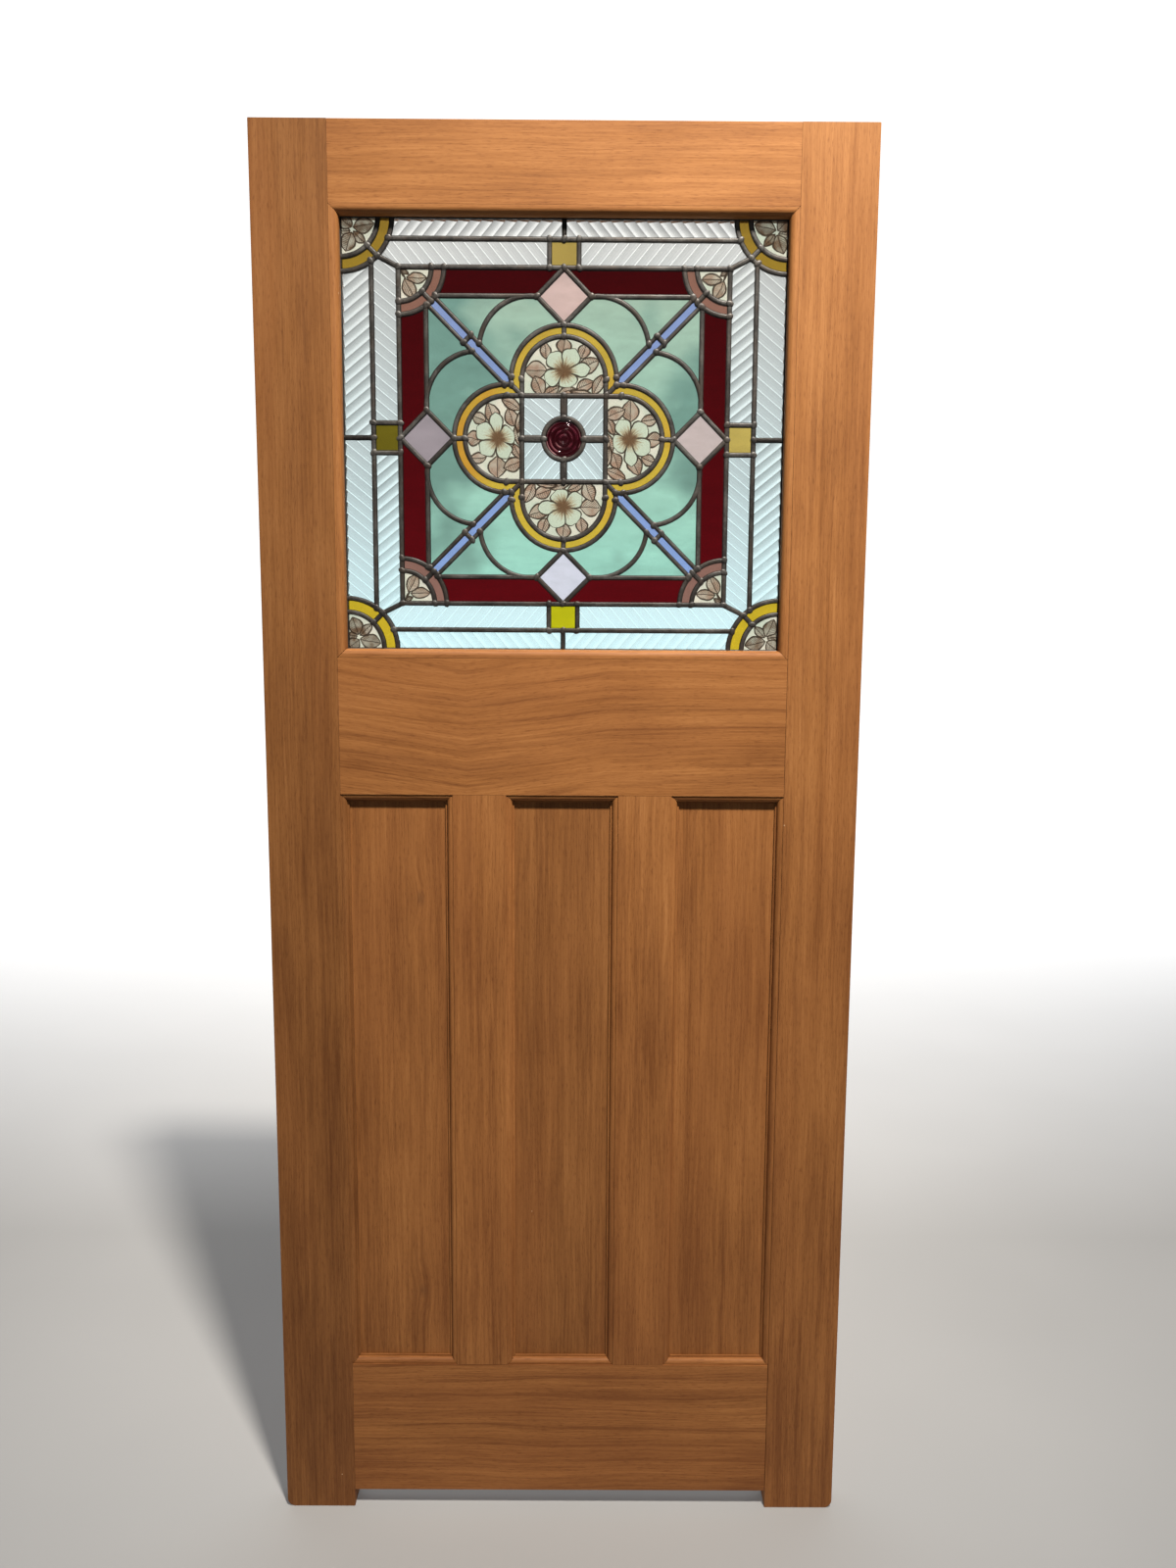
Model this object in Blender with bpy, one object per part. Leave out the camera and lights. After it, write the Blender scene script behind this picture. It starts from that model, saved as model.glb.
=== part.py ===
"""Stained glass front door: a panelled hardwood leaf with a square leaded light.

The leaf is one stile-and-rail frame. Two full-height stiles end in horns below the bottom rail. Three
rails and two muntins hold three flat panels in grooves. The leaded light sits in a rebate behind four
mitred beads. Its panes are cut from one drawing of lead lines, and the lead is one soldered lattice.

Metres, +Z up. The outside face looks along -Y and X runs from the hanging edge to the closing edge.
The origin is the middle of the hanging edge.
"""
import math

import bmesh
import bpy
from mathutils import Vector
from mathutils.geometry import delaunay_2d_cdt

# Leaf
WIDTH = 0.838
HEIGHT = 1.981
THICKNESS = 0.044
HORN = 0.028
HORN_CORNER = 0.012

# Framing, as flat face widths between the arrises
STILE = 0.104
TOP_RAIL = 0.106
LOCK_RAIL = 0.193
BOTTOM_RAIL = 0.208
MUNTIN = 0.076
LIGHT_OPENING = 0.602

# Joints
GAP = 0.0003
MITRE_GAP = 0.00036
ROOT = 0.003
TENON_THICKNESS = 0.014
TENON_LENGTH = 0.060
TENON_SHOULDER = 0.024
STUB_TENON = 0.016

# Moulding stuck on both faces around the panels
MOULD_WIDTH = 0.011
MOULD_FILLET = 0.0025
QUIRK = 0.0015
PANEL_RECESS = 0.011
PANEL_CLEAR = 0.0015

# Beads and rebate around the leaded light
BEAD_WIDTH = 0.0125
BEAD_DEPTH = 0.014
BEAD_FLAT = 0.003
BEAD_EDGE = 0.003
STOP_WIDTH = 0.0125
STOP_EDGE = 0.010
LIGHT_CLEAR = 0.003

# Lead and glass
CAME_WIDTH = 0.005
CROSS_CAME_WIDTH = 0.009
EDGE_CAME_WIDTH = 0.0105
CAME_DEPTH = 0.006
FLANGE = 0.0012
HEART = 0.0016
GLASS_THICKNESS = 0.003
GLASS_CLEAR = 0.0003

# Borders of the light, from the beads inwards
SIDE_STRIP = 0.041
TOP_STRIP = 0.027
INNER_STRIP = 0.0365
YELLOW_HALF = 0.020
OUTER_CORNER_RADIUS = 0.070
OUTER_LEAF_RADIUS = 0.051

# Field inside the borders as it is drawn, from its middle. It is scaled to the room the borders leave.
RUBY_LINE = 0.225
FOIL_CROWN = 0.151
FOIL_RADIUS = 0.0725
SQUARE_HALF = 0.0575
ROSE_RADIUS = 0.0575
RONDEL_RADIUS = 0.028
LOBE_RADIUS = 0.070
LOBE_OFFSET = 0.009
BAR_HALF = 0.007
BAR_JOINT = 0.132
INNER_CORNER_RADIUS = 0.062
INNER_LEAF_RADIUS = 0.045

# Sides for the round stretches, and distances that count as nothing
OVOLO_STEPS = 3
RONDEL_STEPS = 12
STEP_ANGLE = math.radians(28)
SHARP_ANGLE = math.radians(35)
WELD = 1e-6
STRAIGHT = 5e-6
MAP_TOLERANCE = 1e-7

HALF = THICKNESS / 2
TOP = (HEIGHT + HORN) / 2
BOTTOM = TOP - HEIGHT
FOOT = -TOP
LIGHT_TOP = TOP - TOP_RAIL
LIGHT_BOTTOM = LIGHT_TOP - LIGHT_OPENING
PANEL_TOP = LIGHT_BOTTOM - LOCK_RAIL
PANEL_BOTTOM = BOTTOM + BOTTOM_RAIL
PANEL_OPENING = (WIDTH - 2 * STILE - 2 * MUNTIN) / 3
LIGHT_FRONT = -HALF + BEAD_DEPTH + GAP
LIGHT_BACK = LIGHT_FRONT + CAME_DEPTH
LIGHT_CENTRE = Vector((WIDTH / 2, 0, (LIGHT_TOP + LIGHT_BOTTOM) / 2))
LIGHT_HALF_WIDTH = WIDTH / 2 - STILE - LIGHT_CLEAR
LIGHT_HALF_HEIGHT = LIGHT_OPENING / 2 - LIGHT_CLEAR

TIMBER = (0.42, 0.19, 0.075)
PANEL_TIMBER = (0.47, 0.23, 0.10)
LEAD = (0.10, 0.10, 0.095)
GLASS_COLOURS = {
    "reeded": (0.80, 0.90, 0.92),
    "yellow": (0.62, 0.50, 0.03),
    "leaf": (0.72, 0.76, 0.62),
    "ruby": (0.22, 0.0, 0.01),
    "green": (0.36, 0.66, 0.52),
    "blue": (0.25, 0.36, 0.80),
    "foil": (0.80, 0.48, 0.04),
    "rose": (0.78, 0.80, 0.68),
    "diamond": (0.68, 0.55, 0.62),
    "rondel": (0.16, 0.0, 0.01),
}


# Scene and materials

def clear_scene():
    for item in list(bpy.data.objects):
        bpy.data.objects.remove(item, do_unlink=True)


def material(name, colour, roughness, metallic=0.0, transmission=0.0):
    made = bpy.data.materials.new(name)
    made.use_nodes = True
    shader = made.node_tree.nodes["Principled BSDF"]
    shader.inputs["Base Color"].default_value = (*colour, 1)
    shader.inputs["Roughness"].default_value = roughness
    shader.inputs["Metallic"].default_value = metallic
    shader.inputs["Transmission Weight"].default_value = transmission
    made.diffuse_color = (*colour, 1)
    return made


def collection(name):
    made = bpy.data.collections.new(name)
    bpy.context.scene.collection.children.link(made)
    return made


def add_object(name, bm, group, finish=None):
    bmesh.ops.recalc_face_normals(bm, faces=bm.faces)
    mesh = bpy.data.meshes.new(name)
    bm.to_mesh(mesh)
    bm.free()
    if finish:
        mesh.materials.append(finish)
    mesh.shade_smooth()
    mesh.set_sharp_from_angle(angle=SHARP_ANGLE)
    made = bpy.data.objects.new(name, mesh)
    group.objects.link(made)
    return made


def boolean(target, tool, operation):
    cut = target.modifiers.new(operation.lower() + " " + tool.name, "BOOLEAN")
    cut.operation = operation
    cut.solver = "EXACT"
    cut.object = tool


# Timber shapes

def box_bmesh(low, high):
    bm = bmesh.new()
    bmesh.ops.create_cube(bm, size=1)
    for vert in bm.verts:
        vert.co = Vector([low[i] + (high[i] - low[i]) * (vert.co[i] + 0.5) for i in range(3)])
    return bm


def ovolo(width, depth, start, fillet):
    """Points of a convex quarter from the quirk at the arris down to the fillet beside the panel."""
    round_width = width - fillet
    round_depth = depth - start - fillet
    points = []
    for i in range(OVOLO_STEPS + 1):
        turn = math.pi / 2 * i / OVOLO_STEPS
        points.append((round_width * math.sin(turn), start + round_depth * (1 - math.cos(turn))))
    points.append((width, depth - fillet))
    return points


def trim(bm, point, outward):
    """Cuts away what lies beyond a plane, and closes the cut."""
    geom = bm.verts[:] + bm.edges[:] + bm.faces[:]
    found = bmesh.ops.bisect_plane(
        bm, geom=geom, dist=WELD, plane_co=point, plane_no=outward, clear_outer=True
    )
    edges = [item for item in found["geom_cut"] if isinstance(item, bmesh.types.BMEdge)]
    if edges:
        bmesh.ops.contextual_create(bm, geom=edges)


def strip_bmesh(outline, start, along, inward, depth, length):
    """A run of moulding from an outline of (inward, depth) pairs, mitred at 45 degrees at both ends.

    Its root, inside the board that it is worked on, is cut square.
    """
    bm = bmesh.new()
    face = bm.faces.new([bm.verts.new(start + inward * into + depth * deep) for into, deep in outline])
    made = bmesh.ops.extrude_face_region(bm, geom=[face])
    verts = [item for item in made["geom"] if isinstance(item, bmesh.types.BMVert)]
    bmesh.ops.translate(bm, verts=verts, vec=along * length)
    near, far = start + along * MITRE_GAP, start + along * (length - MITRE_GAP)
    for end, outward in ((near, -along), (far, along)):
        trim(bm, end, outward + inward)
        trim(bm, end, outward)
    return bm


def panel_profile():
    curve = ovolo(MOULD_WIDTH, PANEL_RECESS - GAP, QUIRK, MOULD_FILLET)
    return [(-ROOT, QUIRK)] + curve + [(MOULD_WIDTH, PANEL_RECESS - GAP), (-ROOT, PANEL_RECESS - GAP)]


def stop_profile():
    """The stop behind the glass, from the inside face of the leaf to the back of the leaded light."""
    deep = HALF - LIGHT_BACK - GAP
    curve = ovolo(STOP_WIDTH, deep - STOP_EDGE + MOULD_FILLET, QUIRK, MOULD_FILLET)
    return [(-ROOT, QUIRK)] + curve + [(STOP_WIDTH, deep), (-ROOT, deep)]


def bead_profile():
    """The loose bead, flush with the outside face, rounded down to a thin edge at the glass."""
    points = [(GAP, 0), (BEAD_FLAT, 0)]
    span = BEAD_WIDTH - BEAD_FLAT
    fall = BEAD_DEPTH - BEAD_EDGE
    for i in range(1, OVOLO_STEPS + 1):
        turn = math.pi / 2 * i / OVOLO_STEPS
        points.append((BEAD_FLAT + span * math.sin(turn), fall * (1 - math.cos(turn))))
    return points + [(BEAD_WIDTH, BEAD_DEPTH), (GAP, BEAD_DEPTH)]


FRONT = (-HALF, Vector((0, 1, 0)))
BACK = (HALF, Vector((0, -1, 0)))
RIGHT = Vector((1, 0, 0))
UP = Vector((0, 0, 1))


def strip_of(outline, face, corner, along, inward, length):
    """A run of moulding on one face of the leaf, from a corner of its opening given as (across, up)."""
    level, depth = face
    start = Vector((corner[0], level, corner[1]))
    return strip_bmesh(outline, start, along, inward, depth, length)


def panel_edges():
    """The left and right edge of each panel opening."""
    edges = []
    for i in range(3):
        left = STILE + i * (PANEL_OPENING + MUNTIN)
        edges.append((left, left + PANEL_OPENING))
    return edges


class Member:
    """One board of the frame: a core, the mouldings and tenons worked on it, and its mortises."""

    def __init__(self, name, low, high, finish, group, tools):
        self.body = add_object(name, box_bmesh(low, high), group, finish)
        self.tools = tools
        self.count = 0

    def work(self, bm, operation):
        self.count += 1
        tool = add_object(f"{self.body.name} tool {self.count}", bm, self.tools)
        tool.hide_render = True
        tool.display_type = "WIRE"
        boolean(self.body, tool, operation)

    def moulding(self, corner, along, inward, length):
        for face in (FRONT, BACK):
            self.work(strip_of(panel_profile(), face, corner, along, inward, length), "UNION")

    def stop(self, corner, along, inward, length):
        self.work(strip_of(stop_profile(), BACK, corner, along, inward, length), "UNION")

    def tenon(self, low, high):
        self.work(box_bmesh(low, high), "UNION")

    def mortise(self, low, high):
        grow = Vector((GAP, GAP, GAP))
        self.work(box_bmesh(Vector(low) - grow, Vector(high) + grow), "DIFFERENCE")


def rail_tenon(side, low, high):
    """The tenon of a rail between two levels, on the left or the right, in from both shoulders."""
    inner = STILE + GAP + ROOT
    outer = STILE - TENON_LENGTH
    ends = (outer, inner) if side == "left" else (WIDTH - inner, WIDTH - outer)
    half = TENON_THICKNESS / 2
    return (ends[0], -half, low + TENON_SHOULDER), (ends[1], half, high - TENON_SHOULDER)


def muntin_tenon(left, end):
    """The stub tenon of a muntin, at its top or its bottom."""
    half = TENON_THICKNESS / 2
    inset = TENON_SHOULDER / 2
    if end == "top":
        levels = (PANEL_TOP - GAP - ROOT, PANEL_TOP + STUB_TENON)
    else:
        levels = (PANEL_BOTTOM - STUB_TENON, PANEL_BOTTOM + GAP + ROOT)
    return (left + inset, -half, levels[0]), (left + MUNTIN - inset, half, levels[1])


RAILS = {
    "top_rail": (LIGHT_TOP, TOP),
    "lock_rail": (PANEL_TOP, LIGHT_BOTTOM),
    "bottom_rail": (BOTTOM, PANEL_BOTTOM),
}
LIGHT_WIDTH = WIDTH - 2 * STILE
PANEL_HEIGHT = PANEL_TOP - PANEL_BOTTOM


def round_horn(stile, outer):
    """Rounds the outer bottom corner of a stile's horn."""
    bm = bmesh.new()
    bm.from_mesh(stile.data)
    edge = [
        e for e in bm.edges
        if all(abs(v.co.x - outer) < GAP and abs(v.co.z - FOOT) < GAP for v in e.verts)
    ]
    bmesh.ops.bevel(bm, geom=edge, offset=HORN_CORNER, segments=3, profile=0.5, affect="EDGES")
    bm.to_mesh(stile.data)
    bm.free()


def build_stiles(finish, group, tools):
    for name, left, inner, inward in (
        ("left_stile", 0, STILE, RIGHT),
        ("right_stile", WIDTH - STILE, WIDTH - STILE, -RIGHT),
    ):
        stile = Member(name, (left, -HALF, FOOT), (left + STILE, HALF, TOP), finish, group, tools)
        round_horn(stile.body, 0 if left == 0 else WIDTH)
        stile.stop((inner, LIGHT_BOTTOM), UP, inward, LIGHT_OPENING)
        stile.moulding((inner, PANEL_BOTTOM), UP, inward, PANEL_HEIGHT)
        side = name.split("_")[0]
        for low, high in RAILS.values():
            stile.mortise(*rail_tenon(side, low, high))


def build_rails(finish, group, tools):
    for name, (low, high) in RAILS.items():
        rail = Member(
            name, (STILE + GAP, -HALF, low), (WIDTH - STILE - GAP, HALF, high), finish, group, tools
        )
        for side in ("left", "right"):
            rail.tenon(*rail_tenon(side, low, high))
        if name == "top_rail":
            rail.stop((STILE, LIGHT_TOP), RIGHT, -UP, LIGHT_WIDTH)
        if name == "lock_rail":
            rail.stop((STILE, LIGHT_BOTTOM), RIGHT, UP, LIGHT_WIDTH)
        if name == "top_rail":
            continue
        level, inward = (PANEL_TOP, -UP) if name == "lock_rail" else (PANEL_BOTTOM, UP)
        for left, right in panel_edges():
            rail.moulding((left, level), RIGHT, inward, right - left)
        for left, right in panel_edges()[:2]:
            rail.mortise(*muntin_tenon(right, "top" if name == "lock_rail" else "bottom"))


def build_muntins(finish, group, tools):
    for name, (left, right) in zip(("left_muntin", "right_muntin"), panel_edges()[:2]):
        low = (right, -HALF, PANEL_BOTTOM + GAP)
        high = (right + MUNTIN, HALF, PANEL_TOP - GAP)
        muntin = Member(name, low, high, finish, group, tools)
        muntin.moulding((right, PANEL_BOTTOM), UP, -RIGHT, PANEL_HEIGHT)
        muntin.moulding((right + MUNTIN, PANEL_BOTTOM), UP, RIGHT, PANEL_HEIGHT)
        for end in ("top", "bottom"):
            muntin.tenon(*muntin_tenon(right, end))


def build_panels(finish, group):
    face = HALF - PANEL_RECESS
    for name, (left, right) in zip(("left_panel", "middle_panel", "right_panel"), panel_edges()):
        low = (left + PANEL_CLEAR, -face, PANEL_BOTTOM + PANEL_CLEAR)
        high = (right - PANEL_CLEAR, face, PANEL_TOP - PANEL_CLEAR)
        add_object(name, box_bmesh(low, high), group, finish)


def build_beads(finish, group):
    corners = {
        "left_bead": ((STILE, LIGHT_BOTTOM), UP, RIGHT, LIGHT_OPENING),
        "right_bead": ((WIDTH - STILE, LIGHT_BOTTOM), UP, -RIGHT, LIGHT_OPENING),
        "top_bead": ((STILE, LIGHT_TOP), RIGHT, -UP, LIGHT_WIDTH),
        "bottom_bead": ((STILE, LIGHT_BOTTOM), RIGHT, UP, LIGHT_WIDTH),
    }
    for name, (corner, along, inward, length) in corners.items():
        add_object(name, strip_of(bead_profile(), FRONT, corner, along, inward, length), group, finish)


# Drawing of the lead lines: points are (across, up) from the middle of the light

def arc(centre, radius, stops):
    """Points along an arc that passes exactly through each of the given angles."""
    points = []
    for first, last in zip(stops, stops[1:]):
        steps = max(1, round(abs(last - first) / STEP_ANGLE))
        for i in range(steps):
            angle = first + (last - first) * i / steps
            points.append((centre[0] + radius * math.cos(angle), centre[1] + radius * math.sin(angle)))
    points.append((centre[0] + radius * math.cos(stops[-1]), centre[1] + radius * math.sin(stops[-1])))
    return points


def angle_to(centre, point):
    return math.atan2(point[1] - centre[1], point[0] - centre[0])


def reach(radius, offset):
    """Half the chord of a circle at an offset from its middle."""
    return math.sqrt(max(radius ** 2 - offset ** 2, 0))


def diagonal_hit(centre, radius, shift, outer):
    """Where the line up = across + shift meets a circle, at its outer or its inner crossing."""
    middle = (centre[0] + centre[1] - shift) / 2
    half = reach(radius, (centre[0] - centre[1] + shift) / math.sqrt(2)) / math.sqrt(2)
    across = middle + (half if outer else -half)
    return across, across + shift


def turned(point, turns):
    across, up = point
    for _ in range(turns):
        across, up = up, -across
    return across, up


def four_turns(points):
    return [[turned(p, i) for p in points] for i in range(4)]


def eight_ways(points):
    return four_turns(points) + four_turns([(-across, up) for across, up in points])


def four_mirrors(points):
    return [[(sx * across, sy * up) for across, up in points] for sx in (1, -1) for sy in (1, -1)]


def square(half_width, half_height):
    return [
        (-half_width, -half_height),
        (half_width, -half_height),
        (half_width, half_height),
        (-half_width, half_height),
    ]


class Came:
    """A line of lead. It has a heart where two panes of different glass meet."""

    def __init__(self, points, width=CAME_WIDTH, closed=False, heart=True):
        self.points = points
        self.width = width
        self.closed = closed
        self.heart = heart

    def scaled(self, factor):
        points = [(across * factor, up * factor) for across, up in self.points]
        return Came(points, self.width, self.closed, self.heart)


SIGHT_CORNER = (WIDTH / 2 - STILE - BEAD_WIDTH, LIGHT_OPENING / 2 - BEAD_WIDTH)
STRIP_ACROSS = SIGHT_CORNER[0] - SIDE_STRIP
STRIP_UP = SIGHT_CORNER[1] - TOP_STRIP
FIELD_HALF = min(STRIP_ACROSS, STRIP_UP) - INNER_STRIP
FIELD_SCALE = FIELD_HALF / RUBY_LINE
LEAF_INSET = OUTER_LEAF_RADIUS / 3
GREEN_LINE = (RUBY_LINE + FOIL_CROWN) / 2
DIAMOND_HALF = RUBY_LINE - GREEN_LINE
FOIL_CENTRE = (0, FOIL_CROWN - FOIL_RADIUS)
BAR_SHIFT = BAR_HALF * math.sqrt(2)
BAR_START = diagonal_hit(FOIL_CENTRE, FOIL_RADIUS, BAR_SHIFT, True)
QUARTER = math.pi / 2
SIDES = ("top", "right", "bottom", "left")
CORNERS = ("top_right", "bottom_right", "bottom_left", "top_left")


def middle_cames():
    """The rondel, its cross, the square around it and the quatrefoil of foils."""
    ring = arc((0, 0), RONDEL_RADIUS, [math.tau * i / RONDEL_STEPS for i in range(RONDEL_STEPS)])
    cames = [Came(ring, closed=True), Came(square(SQUARE_HALF, SQUARE_HALF), closed=True)]
    cross = [(0, RONDEL_RADIUS), (0, SQUARE_HALF)]
    cames += [Came(line, CROSS_CAME_WIDTH, heart=False) for line in four_turns(cross)]

    notch = diagonal_hit(FOIL_CENTRE, FOIL_RADIUS, 0, True)
    lowest = angle_to(FOIL_CENTRE, notch)
    bar = angle_to(FOIL_CENTRE, BAR_START)
    crown_arc = arc(FOIL_CENTRE, FOIL_RADIUS, [math.pi - lowest, math.pi - bar, QUARTER, bar, lowest])
    outline = [point for foil in four_turns(crown_arc) for point in foil[:-1]]
    cames.append(Came(outline, closed=True))
    rose = [(SQUARE_HALF, SQUARE_HALF)]
    rose += arc(FOIL_CENTRE, ROSE_RADIUS, [0, QUARTER, math.pi])
    rose += [(-SQUARE_HALF, SQUARE_HALF)]
    cames += [Came(line, closed=True) for line in four_turns(rose)]
    crown_joint = [(0, FOIL_CENTRE[1] + ROSE_RADIUS), (0, FOIL_CROWN)]
    notch_joint = [(SQUARE_HALF, SQUARE_HALF), notch]
    cames += [Came(line, heart=False) for line in four_turns(crown_joint) + four_turns(notch_joint)]
    return cames


def field_cames():
    """The green field with its diamonds, lobes and diagonal bars, and the ruby strips around it."""
    diamond = [(0, RUBY_LINE), (DIAMOND_HALF, GREEN_LINE), (0, FOIL_CROWN), (-DIAMOND_HALF, GREEN_LINE)]
    cames = [Came(line, closed=True) for line in four_turns(diamond)]
    cames.append(Came(square(RUBY_LINE, RUBY_LINE), closed=True))
    corner = (RUBY_LINE, RUBY_LINE)
    green_end = RUBY_LINE - reach(INNER_CORNER_RADIUS, DIAMOND_HALF)
    cames += [Came(line) for line in eight_ways([(DIAMOND_HALF, GREEN_LINE), (green_end, GREEN_LINE)])]
    bar_end = diagonal_hit(corner, INNER_CORNER_RADIUS, BAR_SHIFT, False)
    cames += [Came(line) for line in eight_ways([BAR_START, bar_end])]
    half = BAR_SHIFT / 2
    joint = [(BAR_JOINT - half, BAR_JOINT + half), (BAR_JOINT + half, BAR_JOINT - half)]
    cames += [Came(line, heart=False) for line in four_turns(joint)]
    centre = (DIAMOND_HALF + LOBE_OFFSET, GREEN_LINE - reach(LOBE_RADIUS, LOBE_OFFSET))
    end = diagonal_hit(centre, LOBE_RADIUS, BAR_SHIFT, True)
    stops = [angle_to(centre, (DIAMOND_HALF, GREEN_LINE)), angle_to(centre, end)]
    cames += [Came(line, heart=False) for line in eight_ways(arc(centre, LOBE_RADIUS, stops))]
    off_axis = angle_to(bar_end, corner)
    stops = [2 * QUARTER, 3 * QUARTER - off_axis, 2.5 * QUARTER, 2 * QUARTER + off_axis, 3 * QUARTER]
    cames += [Came(line) for line in four_turns(arc(corner, INNER_CORNER_RADIUS, sorted(stops)))]
    leaf = arc(corner, INNER_LEAF_RADIUS, [2 * QUARTER, 2.5 * QUARTER, 3 * QUARTER])
    joint = corner_joint(corner, INNER_LEAF_RADIUS, INNER_CORNER_RADIUS)
    for line in (leaf, joint):
        cames += [Came(image, heart=False) for image in four_turns(line)]
    return cames


def corner_joint(corner, inner, outer):
    """The short joint across a corner's coloured arc, on its 45 degree line."""
    slope = math.sqrt(0.5)
    return [(corner[0] - r * slope, corner[1] - r * slope) for r in (inner, outer)]


def border_cames():
    """The two rows of reeded strips, the yellow squares in them, the corner lights and the edge."""
    cames = []
    for turns in range(4):
        low, high = FIELD_HALF, STRIP_ACROSS if turns % 2 else STRIP_UP
        yellow = [(-YELLOW_HALF, low), (-YELLOW_HALF, high), (YELLOW_HALF, high), (YELLOW_HALF, low)]
        cames.append(Came([turned(point, turns) for point in yellow]))
    wide = LIGHT_HALF_WIDTH - EDGE_CAME_WIDTH / 2
    tall = LIGHT_HALF_HEIGHT - EDGE_CAME_WIDTH / 2
    cames.append(Came(square(wide, tall), EDGE_CAME_WIDTH, closed=True, heart=False))
    edge_heart = square(LIGHT_HALF_WIDTH - HEART / 2, LIGHT_HALF_HEIGHT - HEART / 2)
    cames.append(Came(edge_heart, 0, closed=True))
    for sign in (1, -1):
        cames.append(Came([(0, sign * STRIP_UP), (0, sign * tall)], heart=False))
        cames.append(Came([(sign * STRIP_ACROSS, 0), (sign * wide, 0)], heart=False))

    corner = SIGHT_CORNER
    side_end = (STRIP_ACROSS, corner[1] - reach(OUTER_CORNER_RADIUS, SIDE_STRIP))
    top_end = (corner[0] - reach(OUTER_CORNER_RADIUS, TOP_STRIP), STRIP_UP)
    meets = [math.tau + angle_to(corner, end) for end in (side_end, top_end)]
    for radius, heart in ((OUTER_CORNER_RADIUS, True), (OUTER_LEAF_RADIUS, False)):
        past_side = math.asin((edge_heart[1][0] - corner[0]) / radius)
        past_top = math.asin((edge_heart[2][1] - corner[1]) / radius)
        stops = [3 * QUARTER + past_side, 2.5 * QUARTER, 2 * QUARTER - past_top]
        if heart:
            stops = sorted(stops + meets, reverse=True)
        cames += [Came(line, heart=heart) for line in four_mirrors(arc(corner, radius, stops))]
    joint = corner_joint(corner, OUTER_LEAF_RADIUS, OUTER_CORNER_RADIUS)
    mitre = [(FIELD_HALF, FIELD_HALF), joint[1]]
    for line in (joint, mitre, [(YELLOW_HALF, STRIP_UP), top_end], [(STRIP_ACROSS, YELLOW_HALF), side_end]):
        cames += [Came(image, heart=False) for image in four_mirrors(line)]
    return cames


# From the drawing to solids

def strip_quads(points, width, closed):
    """A line drawn at a width, as one quad for each stretch, mitred at the bends."""
    count = len(points)
    flat = [Vector(p) for p in points]
    edges = []
    for i in range(count):
        before = flat[i - 1] if closed or i else None
        after = flat[(i + 1) % count] if closed or i < count - 1 else None
        normals = []
        for a, b in ((before, flat[i]), (flat[i], after)):
            if a is not None and b is not None:
                step = (b - a).normalized()
                normals.append(Vector((-step.y, step.x)))
        total = sum(normals, Vector((0, 0))).normalized()
        offset = total * (width / 2 / total.dot(normals[0]))
        edges.append((flat[i] + offset, flat[i] - offset))
    quads = []
    for i in range(count if closed else count - 1):
        (a_left, a_right), (b_left, b_right) = edges[i], edges[(i + 1) % count]
        quads.append((a_right, b_right, b_left, a_left))
    return quads


def plane_map(quads):
    """Splits the plane along the edges of all quads, into triangles with lead and without."""
    corners = [corner for quad in quads for corner in quad]
    faces = [tuple(range(4 * i, 4 * i + 4)) for i in range(len(quads))]
    points, _, triangles, _, _, owners = delaunay_2d_cdt(corners, [], faces, 0, MAP_TOLERANCE)
    lead = [tri for tri, own in zip(triangles, owners) if own]
    free = [tri for tri, own in zip(triangles, owners) if not own]
    return points, lead, free


def outlines(points, triangles):
    """The outlines around a set of triangles, without the points that lie on a straight stretch."""
    steps = {(tri[i], tri[(i + 1) % 3]) for tri in triangles for i in range(3)}
    onward = {}
    for a, b in steps:
        if (b, a) not in steps:
            onward.setdefault(a, []).append(b)
    loops = []
    while onward:
        start = min(onward)
        loop = [start]
        while True:
            here = loop[-1]
            following = onward[here].pop()
            if not onward[here]:
                del onward[here]
            if following == start:
                break
            loop.append(following)
        loops.append(straightened([tuple(points[i]) for i in loop]))
    return loops


def straightened(loop):
    kept = []
    for i, point in enumerate(loop):
        before = Vector(kept[-1] if kept else loop[i - 1])
        after = Vector(loop[(i + 1) % len(loop)])
        step = after - before
        if abs(step.cross(Vector(point) - before)) > STRAIGHT * step.length:
            kept.append(point)
    return kept


def pieces(triangles):
    """Groups triangles that share an edge."""
    owner = {}
    for number, tri in enumerate(triangles):
        for i in range(3):
            owner.setdefault(frozenset((tri[i], tri[(i + 1) % 3])), []).append(number)
    groups = []
    left = set(range(len(triangles)))
    while left:
        queue = [min(left)]
        left.discard(queue[0])
        group = []
        while queue:
            number = queue.pop()
            tri = triangles[number]
            group.append(tri)
            for i in range(3):
                for other in owner[frozenset((tri[i], tri[(i + 1) % 3]))]:
                    if other in left:
                        left.discard(other)
                        queue.append(other)
        groups.append(group)
    return groups


def holds(points, triangles, spot):
    """Whether a spot lies in one of the triangles."""
    for tri in triangles:
        turns = []
        for i in range(3):
            a, b = points[tri[i]], points[tri[(i + 1) % 3]]
            turns.append((b[0] - a[0]) * (spot[1] - a[1]) - (b[1] - a[1]) * (spot[0] - a[0]))
        if min(turns) >= 0:
            return True
    return False


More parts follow.
